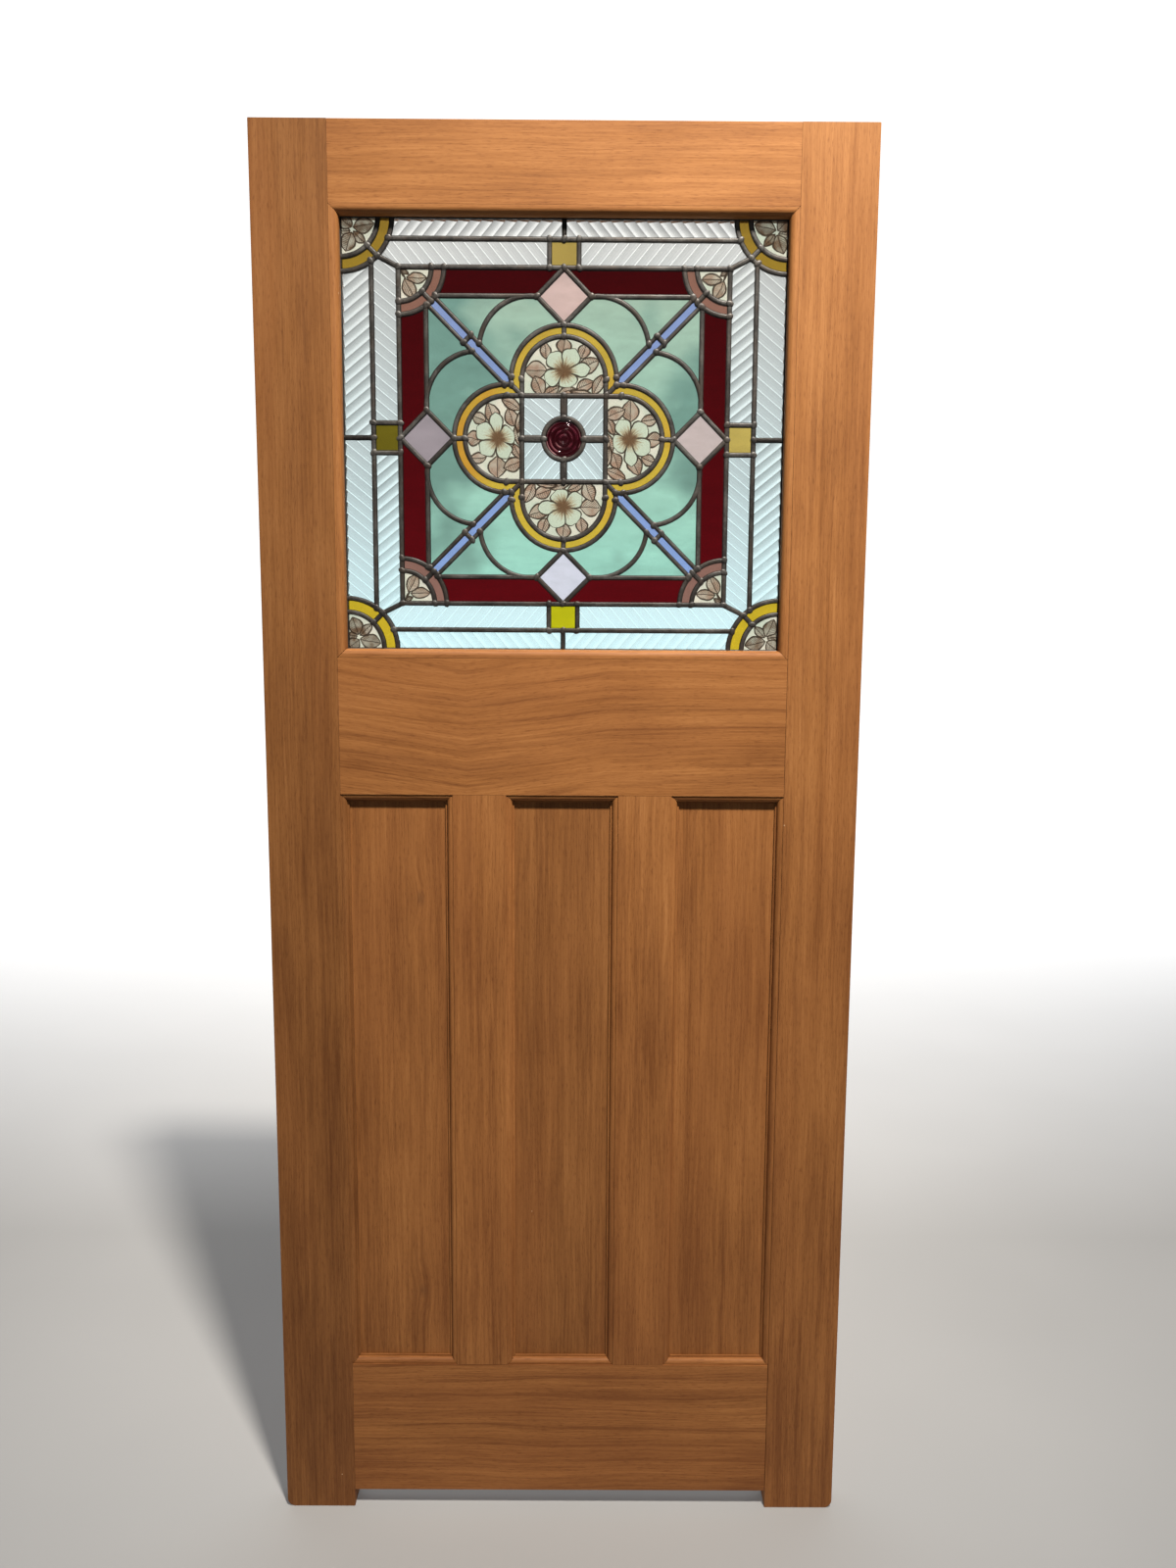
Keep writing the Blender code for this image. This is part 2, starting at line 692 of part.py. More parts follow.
class Plate:
    """Flat work built up between levels behind the outside face, from outlines in the plane of the leaf."""

    def __init__(self):
        self.bm = bmesh.new()

    def rim(self, loop, level):
        verts = [self.bm.verts.new(LIGHT_CENTRE + Vector((x, level, z))) for x, z in loop]
        return [self.bm.edges.new((vert, verts[i - 1])) for i, vert in enumerate(verts)]

    def sheet(self, loops, level):
        """Fills an outline, less the holes in it."""
        edges = [edge for loop in loops for edge in self.rim(loop, level)]
        return bmesh.ops.triangle_fill(self.bm, use_beauty=True, edges=edges)["geom"]

    def wall(self, loop, low, high):
        """Raises an outline from one level to another."""
        made = bmesh.ops.extrude_edge_only(self.bm, edges=self.rim(loop, low))["geom"]
        verts = [item for item in made if isinstance(item, bmesh.types.BMVert)]
        bmesh.ops.translate(self.bm, verts=verts, vec=(0, high - low, 0))

    def slab(self, loops, low, high):
        """A pane: a filled outline with a thickness."""
        for level in (low, high):
            self.sheet(loops, level)
        for loop in loops:
            self.wall(loop, low, high)

    def welded(self):
        bmesh.ops.remove_doubles(self.bm, verts=self.bm.verts, dist=WELD)
        return self.bm


def field_seeds():
    """A spot in each piece of glass of the field as drawn, with its name and kind."""
    square_corner = (SQUARE_HALF + RONDEL_RADIUS) / 2
    seeds = [
        ("rondel", "rondel", (0, 0)),
        ("reeded_square", "reeded", (square_corner, square_corner)),
        ("foil_band", "foil", (0, FOIL_CROWN + (ROSE_RADIUS - FOIL_RADIUS) / 2)),
    ]
    for turns, side in enumerate(SIDES):
        seeds.append((f"diamond_{side}", "diamond", turned((0, GREEN_LINE), turns)))
        seeds.append((f"rose_{side}", "rose", turned(FOIL_CENTRE, turns)))
        for sign, hand in ((-1, SIDES[turns - 1]), (1, SIDES[(turns + 1) % 4])):
            green = (sign * 2 * DIAMOND_HALF, GREEN_LINE - DIAMOND_HALF)
            ruby = (sign * 2 * DIAMOND_HALF, (RUBY_LINE + GREEN_LINE) / 2)
            seeds.append((f"ruby_{side}_{hand}", "ruby", turned(ruby, turns)))
            seeds.append((f"green_{side}_{hand}", "green", turned(green, turns)))
    bar_middle = (FOIL_RADIUS + RUBY_LINE - INNER_CORNER_RADIUS) / 2
    leaf_middle = RUBY_LINE - INNER_LEAF_RADIUS / 2
    for turns, corner in enumerate(CORNERS):
        seeds.append((f"bar_{corner}", "blue", turned((bar_middle, bar_middle), turns)))
        seeds.append((f"inner_leaf_{corner}", "leaf", turned((leaf_middle, leaf_middle), turns)))
    return seeds


def pane_seeds():
    """A spot in each piece of glass, with its name and kind."""
    seeds = [(n, k, (x * FIELD_SCALE, y * FIELD_SCALE)) for n, k, (x, y) in field_seeds()]
    seeds.append(("reeded_border", "reeded", ((FIELD_HALF + STRIP_ACROSS) / 2, 2 * YELLOW_HALF)))
    for turns, (side, corner) in enumerate(zip(SIDES, CORNERS)):
        middle = (FIELD_HALF + (STRIP_ACROSS if turns % 2 else STRIP_UP)) / 2
        seeds.append((f"yellow_square_{side}", "yellow", turned((0, middle), turns)))
        across_sign, up_sign = turned((1, 1), turns)
        spot = (across_sign * (SIGHT_CORNER[0] - LEAF_INSET), up_sign * (SIGHT_CORNER[1] - LEAF_INSET))
        seeds.append((f"outer_leaf_{corner}", "leaf", spot))
    return seeds


def build_light(group):
    cames = [came.scaled(FIELD_SCALE) for came in middle_cames() + field_cames()] + border_cames()
    flanges = [q for came in cames if came.width for q in strip_quads(came.points, came.width, came.closed)]
    hearts = [q for came in cames if came.heart for q in strip_quads(came.points, HEART, came.closed)]
    seats = [
        q for came in cames if came.heart
        for q in strip_quads(came.points, HEART + 2 * GLASS_CLEAR, came.closed)
    ]
    levels = (LIGHT_FRONT, LIGHT_FRONT + FLANGE, LIGHT_BACK - FLANGE, LIGHT_BACK)

    points, lead, _ = plane_map(flanges)
    flange_loops = outlines(points, lead)
    edge = max(flange_loops, key=lambda loop: max(p[0] for p in loop))
    daylights = [loop for loop in flange_loops if loop is not edge]
    lattice = Plate()
    for level in (levels[0], levels[3]):
        lattice.sheet(flange_loops, level)
    lattice.wall(edge, levels[0], levels[3])
    for loop in daylights:
        lattice.wall(loop, levels[0], levels[1])
        lattice.wall(loop, levels[2], levels[3])
    points, _, free = plane_map(hearts)
    for pocket in pieces(free):
        pocket_loops = outlines(points, pocket)
        inside = [loop for loop in daylights if holds(points, pocket, loop[0])]
        for level in (levels[1], levels[2]):
            lattice.sheet(pocket_loops + inside, level)
        for loop in pocket_loops:
            lattice.wall(loop, levels[1], levels[2])
    add_object("lead_cames", lattice.welded(), group, material("lead", LEAD, 0.55, metallic=0.6))

    points, _, free = plane_map(seats)
    seeds = pane_seeds()
    finishes = {
        kind: material(f"{kind} glass", colour, 0.15, transmission=0.8)
        for kind, colour in GLASS_COLOURS.items()
    }
    middle = (LIGHT_FRONT + LIGHT_BACK) / 2
    for piece in pieces(free):
        name, kind = next((n, k) for n, k, spot in seeds if holds(points, piece, spot))
        pane = Plate()
        pane.slab(outlines(points, piece), middle - GLASS_THICKNESS / 2, middle + GLASS_THICKNESS / 2)
        add_object(name, pane.welded(), group, finishes[kind])


def build_door():
    clear_scene()
    group = collection("Stained glass front door")
    tools = collection("Door cutting and joining tools")
    timber = material("oiled hardwood", TIMBER, 0.45)
    panel_timber = material("oiled hardwood panel", PANEL_TIMBER, 0.45)
    build_stiles(timber, group, tools)
    build_rails(timber, group, tools)
    build_muntins(timber, group, tools)
    build_panels(panel_timber, group)
    build_beads(timber, group)
    build_light(group)


build_door()
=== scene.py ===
import math

import bmesh
import bpy
from mathutils import Matrix, Vector


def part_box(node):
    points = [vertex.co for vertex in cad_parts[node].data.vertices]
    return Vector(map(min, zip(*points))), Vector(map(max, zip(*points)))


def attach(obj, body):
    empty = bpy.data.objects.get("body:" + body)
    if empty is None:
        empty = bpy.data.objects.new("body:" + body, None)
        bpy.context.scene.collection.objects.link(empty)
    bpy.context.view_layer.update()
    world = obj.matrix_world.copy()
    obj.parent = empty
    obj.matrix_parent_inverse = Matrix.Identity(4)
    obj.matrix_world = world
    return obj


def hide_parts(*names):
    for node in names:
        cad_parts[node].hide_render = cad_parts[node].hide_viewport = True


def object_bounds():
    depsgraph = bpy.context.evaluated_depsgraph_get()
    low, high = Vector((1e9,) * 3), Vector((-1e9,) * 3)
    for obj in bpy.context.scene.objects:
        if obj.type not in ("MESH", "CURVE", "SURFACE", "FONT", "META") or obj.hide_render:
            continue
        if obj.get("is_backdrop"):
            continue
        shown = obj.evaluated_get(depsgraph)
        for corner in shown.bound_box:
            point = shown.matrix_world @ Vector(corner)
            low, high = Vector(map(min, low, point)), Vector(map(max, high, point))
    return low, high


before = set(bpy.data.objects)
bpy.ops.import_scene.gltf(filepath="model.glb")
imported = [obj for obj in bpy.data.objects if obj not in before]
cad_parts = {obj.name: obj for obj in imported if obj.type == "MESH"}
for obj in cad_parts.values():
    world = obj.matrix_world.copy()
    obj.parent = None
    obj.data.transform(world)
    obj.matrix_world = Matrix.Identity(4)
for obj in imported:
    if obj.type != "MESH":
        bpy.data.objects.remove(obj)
cad_low, cad_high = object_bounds()

# Camera. It stands outside, close to the leaf and a little right of its middle, and looks slightly down,
# so that the leaf narrows towards its feet.
camera_data = bpy.data.cameras.new("camera")
camera_data.lens = 27
camera_data.sensor_width = 36
camera = bpy.data.objects.new("camera", camera_data)
camera.location = (0.4498, -1.6753, 0.3379)
camera.rotation_euler = (math.radians(82.50), math.radians(-0.358), math.radians(-0.150))
bpy.context.scene.collection.objects.link(camera)
bpy.context.scene.camera = camera
bpy.context.scene.view_settings.view_transform = "Standard"

# Stiles. The two upright boards of mid brown hardwood run the whole height and end in short horns. The
# stop behind the light and the panel moulding are worked on their inner edges, and each has a mortise for
# every rail. The outer corner of each horn is rounded off.
front, back = cad_low.y, cad_high.y
foot, top = cad_low.z, cad_high.z
width = cad_high.x
seam = 0.0003
mitre_gap = 0.00036
root = 0.003
stile_width = 0.104
light_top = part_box("top_bead")[1].z + seam
light_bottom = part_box("bottom_bead")[0].z - seam
panel_clear = 0.0015
panel_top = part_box("left_panel")[1].z + panel_clear
panel_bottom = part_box("left_panel")[0].z - panel_clear
bottom = -0.9765
light_front, light_back = -0.0077, -0.0017
horn_corner = 0.012
horn_inner_corner = 0.002
arris = 0.0008
tenon_half = 0.007
tenon_length = 0.060
tenon_shoulder = 0.024
dip_centre = 0.283
stop_rounding = 0.0098
panel_rounding = 0.0066
right, up, deep = Vector((1, 0, 0)), Vector((0, 0, 1)), Vector((0, 1, 0))


def stepped(near, far, step, depth, quirk=0.0015):
    """Outline of a moulding with one step, as (inward, depth) pairs. Its second corner gets rounded."""
    return [(-root, quirk), (near, quirk), (near, step), (far, step), (far, depth), (-root, depth)]


panel_outline = stepped(0.0085, 0.011, 0.0082, 0.0107)
stop_depth = back - light_back - seam
stop_outline = stepped(0.010, 0.0125, stop_depth - 0.010, stop_depth)


class Value:
    """A number, point or colour inside a finish. Numbers are reckoned with as usual, and become nodes."""

    def __init__(self, output):
        self.output = output

    def apply(self, operation, *others):
        return node("Math", dict(enumerate((self, *others))), operation=operation)

    def __add__(self, other):
        return self.apply("ADD", other)

    def __sub__(self, other):
        return self.apply("SUBTRACT", other)

    def __mul__(self, other):
        return self.apply("MULTIPLY", other)

    def __abs__(self):
        return self.apply("ABSOLUTE")

    def rest(self):
        """What is left up to 1."""
        return self * -1 + 1

    def spread(self, low, high, to_low=0.0, to_high=1.0):
        """Spreads the values from low to high over a new range, and holds them there."""
        return node(
            "MapRange",
            {"Value": self, "From Min": low, "From Max": high, "To Min": to_low, "To Max": to_high},
        )


def fill(made, sockets):
    """Sets plain values on the sockets of a node, and wires values of other nodes into them."""
    for key, value in sockets.items():
        if isinstance(value, Value):
            made.id_data.links.new(value.output, made.inputs[key])
        else:
            made.inputs[key].default_value = value


def node(kind, sockets, result=0, **settings):
    """Adds a node to the finish that its wired values belong to, and gives one of its results."""
    tree = next(value.output.id_data for value in sockets.values() if isinstance(value, Value))
    made = tree.nodes.new("ShaderNode" + kind)
    for key, setting in settings.items():
        setattr(made, key, setting)
    fill(made, sockets)
    return Value(made.outputs[result])


def vector(operation, *values):
    """Works out a point, or as DOT_PRODUCT or LENGTH, a number."""
    result = "Value" if operation in ("DOT_PRODUCT", "LENGTH") else "Vector"
    return node("VectorMath", dict(enumerate(values)), result, operation=operation)


def axes(place):
    split = node("SeparateXYZ", {"Vector": place})
    return [Value(output) for output in split.output.node.outputs]


def ramp(value, stops):
    made = node("ValToRGB", {"Fac": value}, "Color")
    elements = made.output.node.color_ramp.elements
    elements[0].position, elements[1].position = stops[0][0], stops[-1][0]
    for place, _ in stops[1:-1]:
        elements.new(place)
    for element, (_, colour) in zip(elements, stops):
        element.color = (*colour, 1)
    return made


def grey(value):
    return node("CombineColor", {"Red": value, "Green": value, "Blue": value})


def tinted(how, amount, under, over):
    """Lays one colour over another."""
    layers = {6: under, 7: over}
    for key, colour in layers.items():
        if isinstance(colour, tuple):
            layers[key] = (*colour, 1)
    return node("Mix", {0: amount, **layers}, 2, data_type="RGBA", blend_type=how)


def noise(place, stretch, detail, roughness=0.5):
    """Cloudy variation with a number of clouds a metre, or one number for each direction."""
    if not isinstance(stretch, tuple):
        stretch = (stretch, stretch, stretch)
    scaled = vector("MULTIPLY", place, stretch)
    sockets = {"Vector": scaled, "Scale": 1.0, "Detail": detail, "Roughness": roughness}
    return node("TexNoise", sockets, "Fac")


def bumped(strength, distance, height):
    return node("Bump", {"Strength": strength, "Distance": distance, "Height": height}, "Normal")


def new_finish(name):
    made = bpy.data.materials.new(name)
    made.use_nodes = True
    nodes = made.node_tree.nodes
    return made, nodes["Principled BSDF"], Value(nodes.new("ShaderNodeTexCoord").outputs["Object"])


def timber_finish(name, upright, offset, wave=0.010, tone=1.0, figure=0.4, dip=0.0, knots=()):
    """Oiled hardwood: growth lines and fine fibres along the grain, soft clouds and a few pale flecks."""
    made, shader, place = new_finish(name + "_timber")
    turn = (0, math.pi / 2 if upright else 0, 0)
    grain = node("Mapping", {"Vector": place, "Location": offset, "Rotation": turn})
    bend = (noise(grain, (2.4, 5, 7), 2) - 0.5) * wave
    if dip:
        across, _, _ = axes(place)
        bend = bend - abs(across - dip_centre).spread(0, 0.20, 0, dip)
    eyes = []
    for knot in knots:
        away = vector("MULTIPLY", vector("SUBTRACT", place, knot), (1, 0, 0.5))
        reach = vector("LENGTH", away)
        bend = bend + reach.spread(0, 0.024, 0.007, 0)
        eyes.append(reach.spread(0.001, 0.008, 0.40, 0))
    bent = vector("ADD", grain, node("CombineXYZ", {"Z": bend}))

    _, _, level = axes(bent)
    ring = (level * (1 / 0.027) + noise(grain, (1.2, 3, 26), 2) * 1.3 + 100).apply("FRACT")
    line = ring.spread(0, 0.20, 1, 0).apply("MAXIMUM", ring.spread(0.95, 1, 0, 1))
    line = line * noise(grain, (2.2, 6, 14), 2).spread(0.38, 0.62, 0.05, 1)
    streaks = noise(bent, (1.1, 60, 80), 5, 0.66)
    fibres = noise(bent, (14, 330, 420), 3, 0.65)
    pores = noise(bent, (80, 900, 900), 2, 0.6)
    clouds = noise(grain, (4.5, 9, 13), 2)
    # Painted shade: the timber is darker towards the foot and a little lighter at the top.
    _, _, height = axes(place)
    painted_falloff = height.spread(-0.9, 0.9, -0.10, 0.03)
    shade = streaks * 0.40 + fibres * 0.36 + clouds * 0.28 + painted_falloff - 0.02
    shade = shade - line * (0.13 * figure)
    colour = ramp(shade, [
        (0.30, Vector((0.180, 0.064, 0.018)) * tone),
        (0.50, Vector((0.326, 0.132, 0.039)) * tone),
        (0.70, Vector((0.460, 0.205, 0.068)) * tone),
    ])
    red = noise(grain, (1.7, 9, 12), 1).spread(0.45, 0.7, 0, 0.25)
    colour = tinted("MIX", red, colour, (0.290, 0.104, 0.032))
    colour = tinted("MULTIPLY", pores.spread(0.54, 0.70, 0, 0.40), colour, (0.36, 0.24, 0.17))
    for eye in eyes:
        colour = tinted("MIX", eye, colour, (0.090, 0.036, 0.016))
    spots = node("TexVoronoi", {"Vector": grain, "Scale": 11.0}, "Distance")
    colour = tinted("MIX", spots.spread(0.008, 0.014, 0.6, 0), colour, (0.66, 0.44, 0.25))
    shader.inputs["Specular IOR Level"].default_value = 0.2
    fill(shader, {
        "Base Color": colour,
        "Roughness": noise(bent, (6, 60, 60), 3).spread(0.3, 0.7, 0.52, 0.66),
        "Normal": bumped(0.3, 0.0004, fibres * 0.6 - pores * 0.4),
    })
    return made


def board(low, high, gap=0.0):
    """A planed board between two corners, or the room that it needs with a gap round it."""
    bm = bmesh.new()
    room = Vector((gap, gap, gap))
    low, high = Vector(low) - room, Vector(high) + room
    place = Matrix.Translation((low + high) / 2) @ Matrix.Diagonal((*(high - low), 1))
    bmesh.ops.create_cube(bm, size=1, matrix=place)
    return bm


def ease(bm, near, radius, segments=2):
    """Rounds the edges that have both ends where it is asked."""
    edges = [edge for edge in bm.edges if all(near(vert.co) for vert in edge.verts)]
    bmesh.ops.bevel(
        bm, geom=edges, offset=radius, segments=segments, profile=0.5, affect="EDGES", material=-1
    )


def points_of(made, key="geom"):
    """The points among what an operator made."""
    return [item for item in made[key] if isinstance(item, bmesh.types.BMVert)]


def cut_off(bm, point, outward):
    """Cuts away what lies beyond a plane, and closes the cut."""
    geom = bm.verts[:] + bm.edges[:] + bm.faces[:]
    found = bmesh.ops.bisect_plane(
        bm, geom=geom, dist=1e-6, plane_co=point, plane_no=outward, clear_outer=True
    )
    edges = [item for item in found["geom_cut"] if isinstance(item, bmesh.types.BMEdge)]
    if edges:
        bmesh.ops.contextual_create(bm, geom=edges)


def moulding(outline, rounding, face, corner, along, inward, length):
    """A run of moulding on one face of the leaf, with one corner rounded and its ends mitred."""
    level, depth = (front, deep) if face == "front" else (back, -deep)
    begin = Vector((corner[0], level, corner[1]))
    bm = bmesh.new()
    verts = [bm.verts.new(begin + inward * into + depth * down) for into, down in outline]
    bm.faces.new(verts)
    bmesh.ops.bevel(
        bm, geom=[verts[1]], offset=rounding, segments=8, profile=0.5, affect="VERTICES", material=-1
    )
    drawn = bmesh.ops.extrude_face_region(bm, geom=bm.faces[:])
    bmesh.ops.translate(bm, verts=points_of(drawn), vec=along * length)
    near, far = begin + along * mitre_gap, begin + along * (length - mitre_gap)
    for end, outward in ((near, -along), (far, along)):
        cut_off(bm, end, outward + inward)
        cut_off(bm, end, outward)
    return bm


def light_stop(corner, along, inward, length):
    return moulding(stop_outline, stop_rounding, "back", corner, along, inward, length)


def panel_mouldings(corner, along, inward, length):
    """The moulding along one edge of a panel, outside and inside."""
    return [
        moulding(panel_outline, panel_rounding, face, corner, along, inward, length)
        for face in ("front", "back")
    ]


def placed(name, bm):
    """Turns a finished bmesh into an object of the scene, its points and faces in a fixed order."""
    bmesh.ops.recalc_face_normals(bm, faces=bm.faces)
    for items, key in (
        (bm.verts, lambda vert: vert.co[:]),
        (bm.edges, lambda edge: sorted(vert.index for vert in edge.verts)),
        (bm.faces, lambda face: sorted(vert.index for vert in face.verts)),
    ):
        for count, item in enumerate(sorted(items, key=key)):
            item.index = count
        items.sort()
    mesh = bpy.data.meshes.new(name)
    bm.to_mesh(mesh)
    bm.free()
    made = bpy.data.objects.new(name, mesh)
    bpy.context.scene.collection.objects.link(made)
    return made


def smoothed(piece, finish, sharp=30):
    piece.data.materials.clear()
    piece.data.materials.append(finish)
    piece.data.shade_smooth()
    piece.data.set_sharp_from_angle(angle=math.radians(sharp))
    return piece


def stands_for(piece, cad_node):
    """Puts a piece of the scene in the place of its plain node."""
    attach(piece, "root")
    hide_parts(cad_node)


def flat_faced(piece):
    """Keeps the flat faces of a rounded board looking flat."""
    piece.modifiers.new("flat faces", "WEIGHTED_NORMAL").keep_sharp = True
    return piece


def worked(name, core, added, cut, finish):
    """A board with its mouldings and tenons joined to it and its mortises cut, as one clean mesh."""
    piece = placed(name, core)
    tools = [(placed("tool", bm), "UNION") for bm in added]
    tools += [(placed("tool", bm), "DIFFERENCE") for bm in cut]
    for tool, operation in tools:
        step = piece.modifiers.new("joinery", "BOOLEAN")
        step.operation = operation
        step.solver = "EXACT"
        step.object = tool
    shaped = piece.evaluated_get(bpy.context.evaluated_depsgraph_get())
    mesh = bpy.data.meshes.new_from_object(shaped)
    piece.modifiers.clear()
    piece.data = mesh
    for tool, _ in tools:
        bpy.data.objects.remove(tool, do_unlink=True)
    return flat_faced(smoothed(piece, finish))


def frame_board(name, core, added, cut, finish):
    stands_for(worked(name + "_board", core, added, cut, finish), name)


def rail_tenon(side, low, high, gap=0.0):
    """A rail's tenon on one side, or with a gap, the mortise that takes it."""
    inner, outer = stile_width + seam + root, stile_width - tenon_length
    ends = (outer, inner) if side == "left" else (width - inner, width - outer)
    levels = low + tenon_shoulder, high - tenon_shoulder
    return board((ends[0], -tenon_half, levels[0]), (ends[1], tenon_half, levels[1]), gap)


rails = {
    "top_rail": (light_top, top),
    "lock_rail": (panel_top, light_bottom),
    "bottom_rail": (bottom, panel_bottom),
}
# The left stile's low tone, 0.76, is painted shade on the left side of the leaf.
for side, inner, outer, inward, offset, tone in (
    ("left", stile_width, 0.0, right, (0.4, 0.2, 0.0), 0.76),
    ("right", width - stile_width, width, -right, (3.1, 0.7, 0.9), 1.0),
):
    name = side + "_stile"
    core = board((min(inner, outer), front, foot), (max(inner, outer), back, top))
    ease(core, lambda co: abs(co.x - outer) < seam and abs(co.z - foot) < seam, horn_corner, 8)
    ease(core, lambda co: abs(co.x - inner) < seam and abs(co.z - foot) < seam, horn_inner_corner, 3)
    ease(
        core,
        lambda co: abs(co.y) > back - seam and (abs(co.x - inner) > seam or co.z < bottom - 0.001),
        arris,
    )
    added = [light_stop((inner, light_bottom), up, inward, light_top - light_bottom)]
    added += panel_mouldings((inner, panel_bottom), up, inward, panel_top - panel_bottom)
    mortises = [rail_tenon(side, low, high, seam) for low, high in rails.values()]
    frame_board(name, core, added, mortises, timber_finish(name, True, offset, tone=tone))

# Rails. Three cross boards of the same timber, tenoned into the stiles. The top and lock rails carry the
# stop behind the light, and the lock and bottom rails the moulding round the panels. The lock rail has a
# wavy figure.
muntin_width = 0.076
opening = width - 2 * stile_width
panel_opening = (width - 2 * stile_width - 2 * muntin_width) / 3
stub_length = 0.016
panel_lefts = [stile_width + i * (panel_opening + muntin_width) for i in range(3)]
panel_edges = [(left, left + panel_opening) for left in panel_lefts]


def muntin_tenon(left, end, gap=0.0):
    """A muntin's stub tenon at its top or bottom, or with a gap, the mortise that takes it."""
    if end == "top":
        levels = panel_top - seam - root, panel_top + stub_length
    else:
        levels = panel_bottom - stub_length, panel_bottom + seam + root
    ends = left + tenon_shoulder / 2, left + muntin_width - tenon_shoulder / 2
    return board((ends[0], -tenon_half, levels[0]), (ends[1], tenon_half, levels[1]), gap)


for (name, (low, high)), offset, wave, figure, dip in zip(
    rails.items(),
    ((0.3, 5.0, 1.2), (1.9, 2.4, 4.4), (5.2, 3.3, 2.1)),
    (0.012, 0.020, 0.034),
    (0.5, 1.0, 0.8),
    (0.0, 0.026, 0.0),
):
    core = board((stile_width + seam, front, low), (width - stile_width - seam, back, high))
    if name != "lock_rail":
        outer = top if name == "top_rail" else bottom
        ease(core, lambda co: abs(co.z - outer) < seam and abs(co.y) > back - seam, arris)
    added = [rail_tenon(side, low, high) for side in ("left", "right")]
    cut = []
    if name != "bottom_rail":
        level, inward = (light_top, -up) if name == "top_rail" else (light_bottom, up)
        added.append(light_stop((stile_width, level), right, inward, opening))
    if name != "top_rail":
        level, inward = (panel_top, -up) if name == "lock_rail" else (panel_bottom, up)
        for left, far in panel_edges:
            added += panel_mouldings((left, level), right, inward, far - left)
        end = "top" if name == "lock_rail" else "bottom"
        cut = [muntin_tenon(far, end, seam) for _, far in panel_edges[:2]]
    finish = timber_finish(name, False, offset, wave, 1.06, figure, dip)
    frame_board(name, core, added, cut, finish)

# Muntins. Two short uprights between the lock rail and the bottom rail, moulded on both edges, with a stub
# tenon at each end.
for name, (_, left), offset, tone in zip(
    ("left_muntin", "right_muntin"), panel_edges, ((6.3, 1.1, 2.7), (2.6, 4.9, 5.5)), (1.05, 1.03)
):
    core = board((left, front, panel_bottom + seam), (left + muntin_width, back, panel_top - seam))
    added = []
    for edge, inward in ((left, -right), (left + muntin_width, right)):
        added += panel_mouldings((edge, panel_bottom), up, inward, panel_top - panel_bottom)
    added += [muntin_tenon(left, end) for end in ("top", "bottom")]
    frame_board(name, core, added, [], timber_finish(name, True, offset, tone=tone))

# Panels. Three flat boards held between the mouldings, with upright grain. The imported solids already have
# their shape, so only their finish changes. The left one has two small knots.
for name, offset, tone, knots in (
    ("left_panel", (7.7, 0.3, 3.3), 0.97, ((0.215, -0.011, -0.050), (0.212, -0.011, -0.655))),
    ("middle_panel", (0.9, 6.1, 7.1), 0.85, ()),
    ("right_panel", (4.2, 7.4, 0.6), 1.02, ()),
):
    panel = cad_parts[name]
    finish = timber_finish(name, True, offset, 0.014, tone, 0.3, knots=knots)
    for slot in panel.material_slots:
        slot.material = finish

# Lead. Every line of the window is a separate length of H section lead with rounded edges. Straight and
# bent lengths meet at soldered joints, and a wider came runs round the whole light. All of it together is
# one lattice. Points are (across, up) in metres from the middle of the light.
light_centre = Vector((width / 2, (light_front + light_back) / 2, (light_top + light_bottom) / 2))
sight_corner = Vector((0.3025, 0.2885))
light_corner = Vector((0.312, 0.298))
came_width = 0.0056
cross_came_width = 0.009
bar_came_width = 0.0046
edge_came_width = 0.0105
came_depth = 0.006
cement_level = 0.0021
cement_width = 0.0006
dome = ((1.0, 0.0), (0.93, 0.42), (0.76, 0.75), (0.45, 0.94))
ruby_line = 0.225
green_line = 0.188
foil_crown = 0.151
diamond_half = 0.037
foil_centre = (0, 0.0785)
foil_radius = 0.0725
rose_radius = 0.0575
square_half = 0.0575
rondel_radius = 0.028
lobe_radius = 0.070
lobe_reach = 0.009
lobe_centre = (0.046, green_line - math.sqrt(lobe_radius ** 2 - lobe_reach ** 2))
bar_half = 0.007
bar_shift = bar_half * math.sqrt(2)
bar_joint = 0.132
inner_radius = 0.062
inner_leaf_radius = 0.045
strip_across, strip_up = 0.2615, 0.2615
outer_radius = 0.070
outer_leaf_radius = 0.051
yellow_half = 0.020
arc_step = 7
joint_inset = 0.004


def bearing(centre, point):
    """Degrees from a centre to a point, with 0 to the right and 90 up."""
    return math.degrees(math.atan2(point[1] - centre[1], point[0] - centre[0])) % 360


def on_circle(centre, radius, degrees):
    turn = math.radians(degrees)
    return centre[0] + radius * math.cos(turn), centre[1] + radius * math.sin(turn)


def crossing(centre, radius, shift, outer):
    """Where the line up = across + shift meets a circle, at its outer or inner crossing."""
    middle = (centre[0] + centre[1] - shift) / 2
    offset = (centre[0] - centre[1] + shift) / math.sqrt(2)
    half = math.sqrt((radius ** 2 - offset ** 2) / 2)
    across = middle + (half if outer else -half)
    return across, across + shift


notch = crossing(foil_centre, foil_radius, 0, True)
inner_corner = (ruby_line, ruby_line)
bar_start = crossing(foil_centre, foil_radius, bar_shift, True)
bar_end = crossing(inner_corner, inner_radius, bar_shift, False)
lobe_end = crossing(lobe_centre, lobe_radius, bar_shift, True)
joint_upper = (bar_joint - bar_shift / 2, bar_joint + bar_shift / 2)
joint_lower = (bar_joint + bar_shift / 2, bar_joint - bar_shift / 2)
inner_start = (ruby_line - inner_radius, ruby_line)
square_corner = (square_half, square_half)
diamond_side = (diamond_half, green_line)
green_end = (ruby_line - math.sqrt(inner_radius ** 2 - diamond_half ** 2), green_line)
side_end = (
    strip_across, sight_corner.y - math.sqrt(outer_radius ** 2 - (sight_corner.x - strip_across) ** 2)
)
top_end = (sight_corner.x - math.sqrt(outer_radius ** 2 - (sight_corner.y - strip_up) ** 2), strip_up)
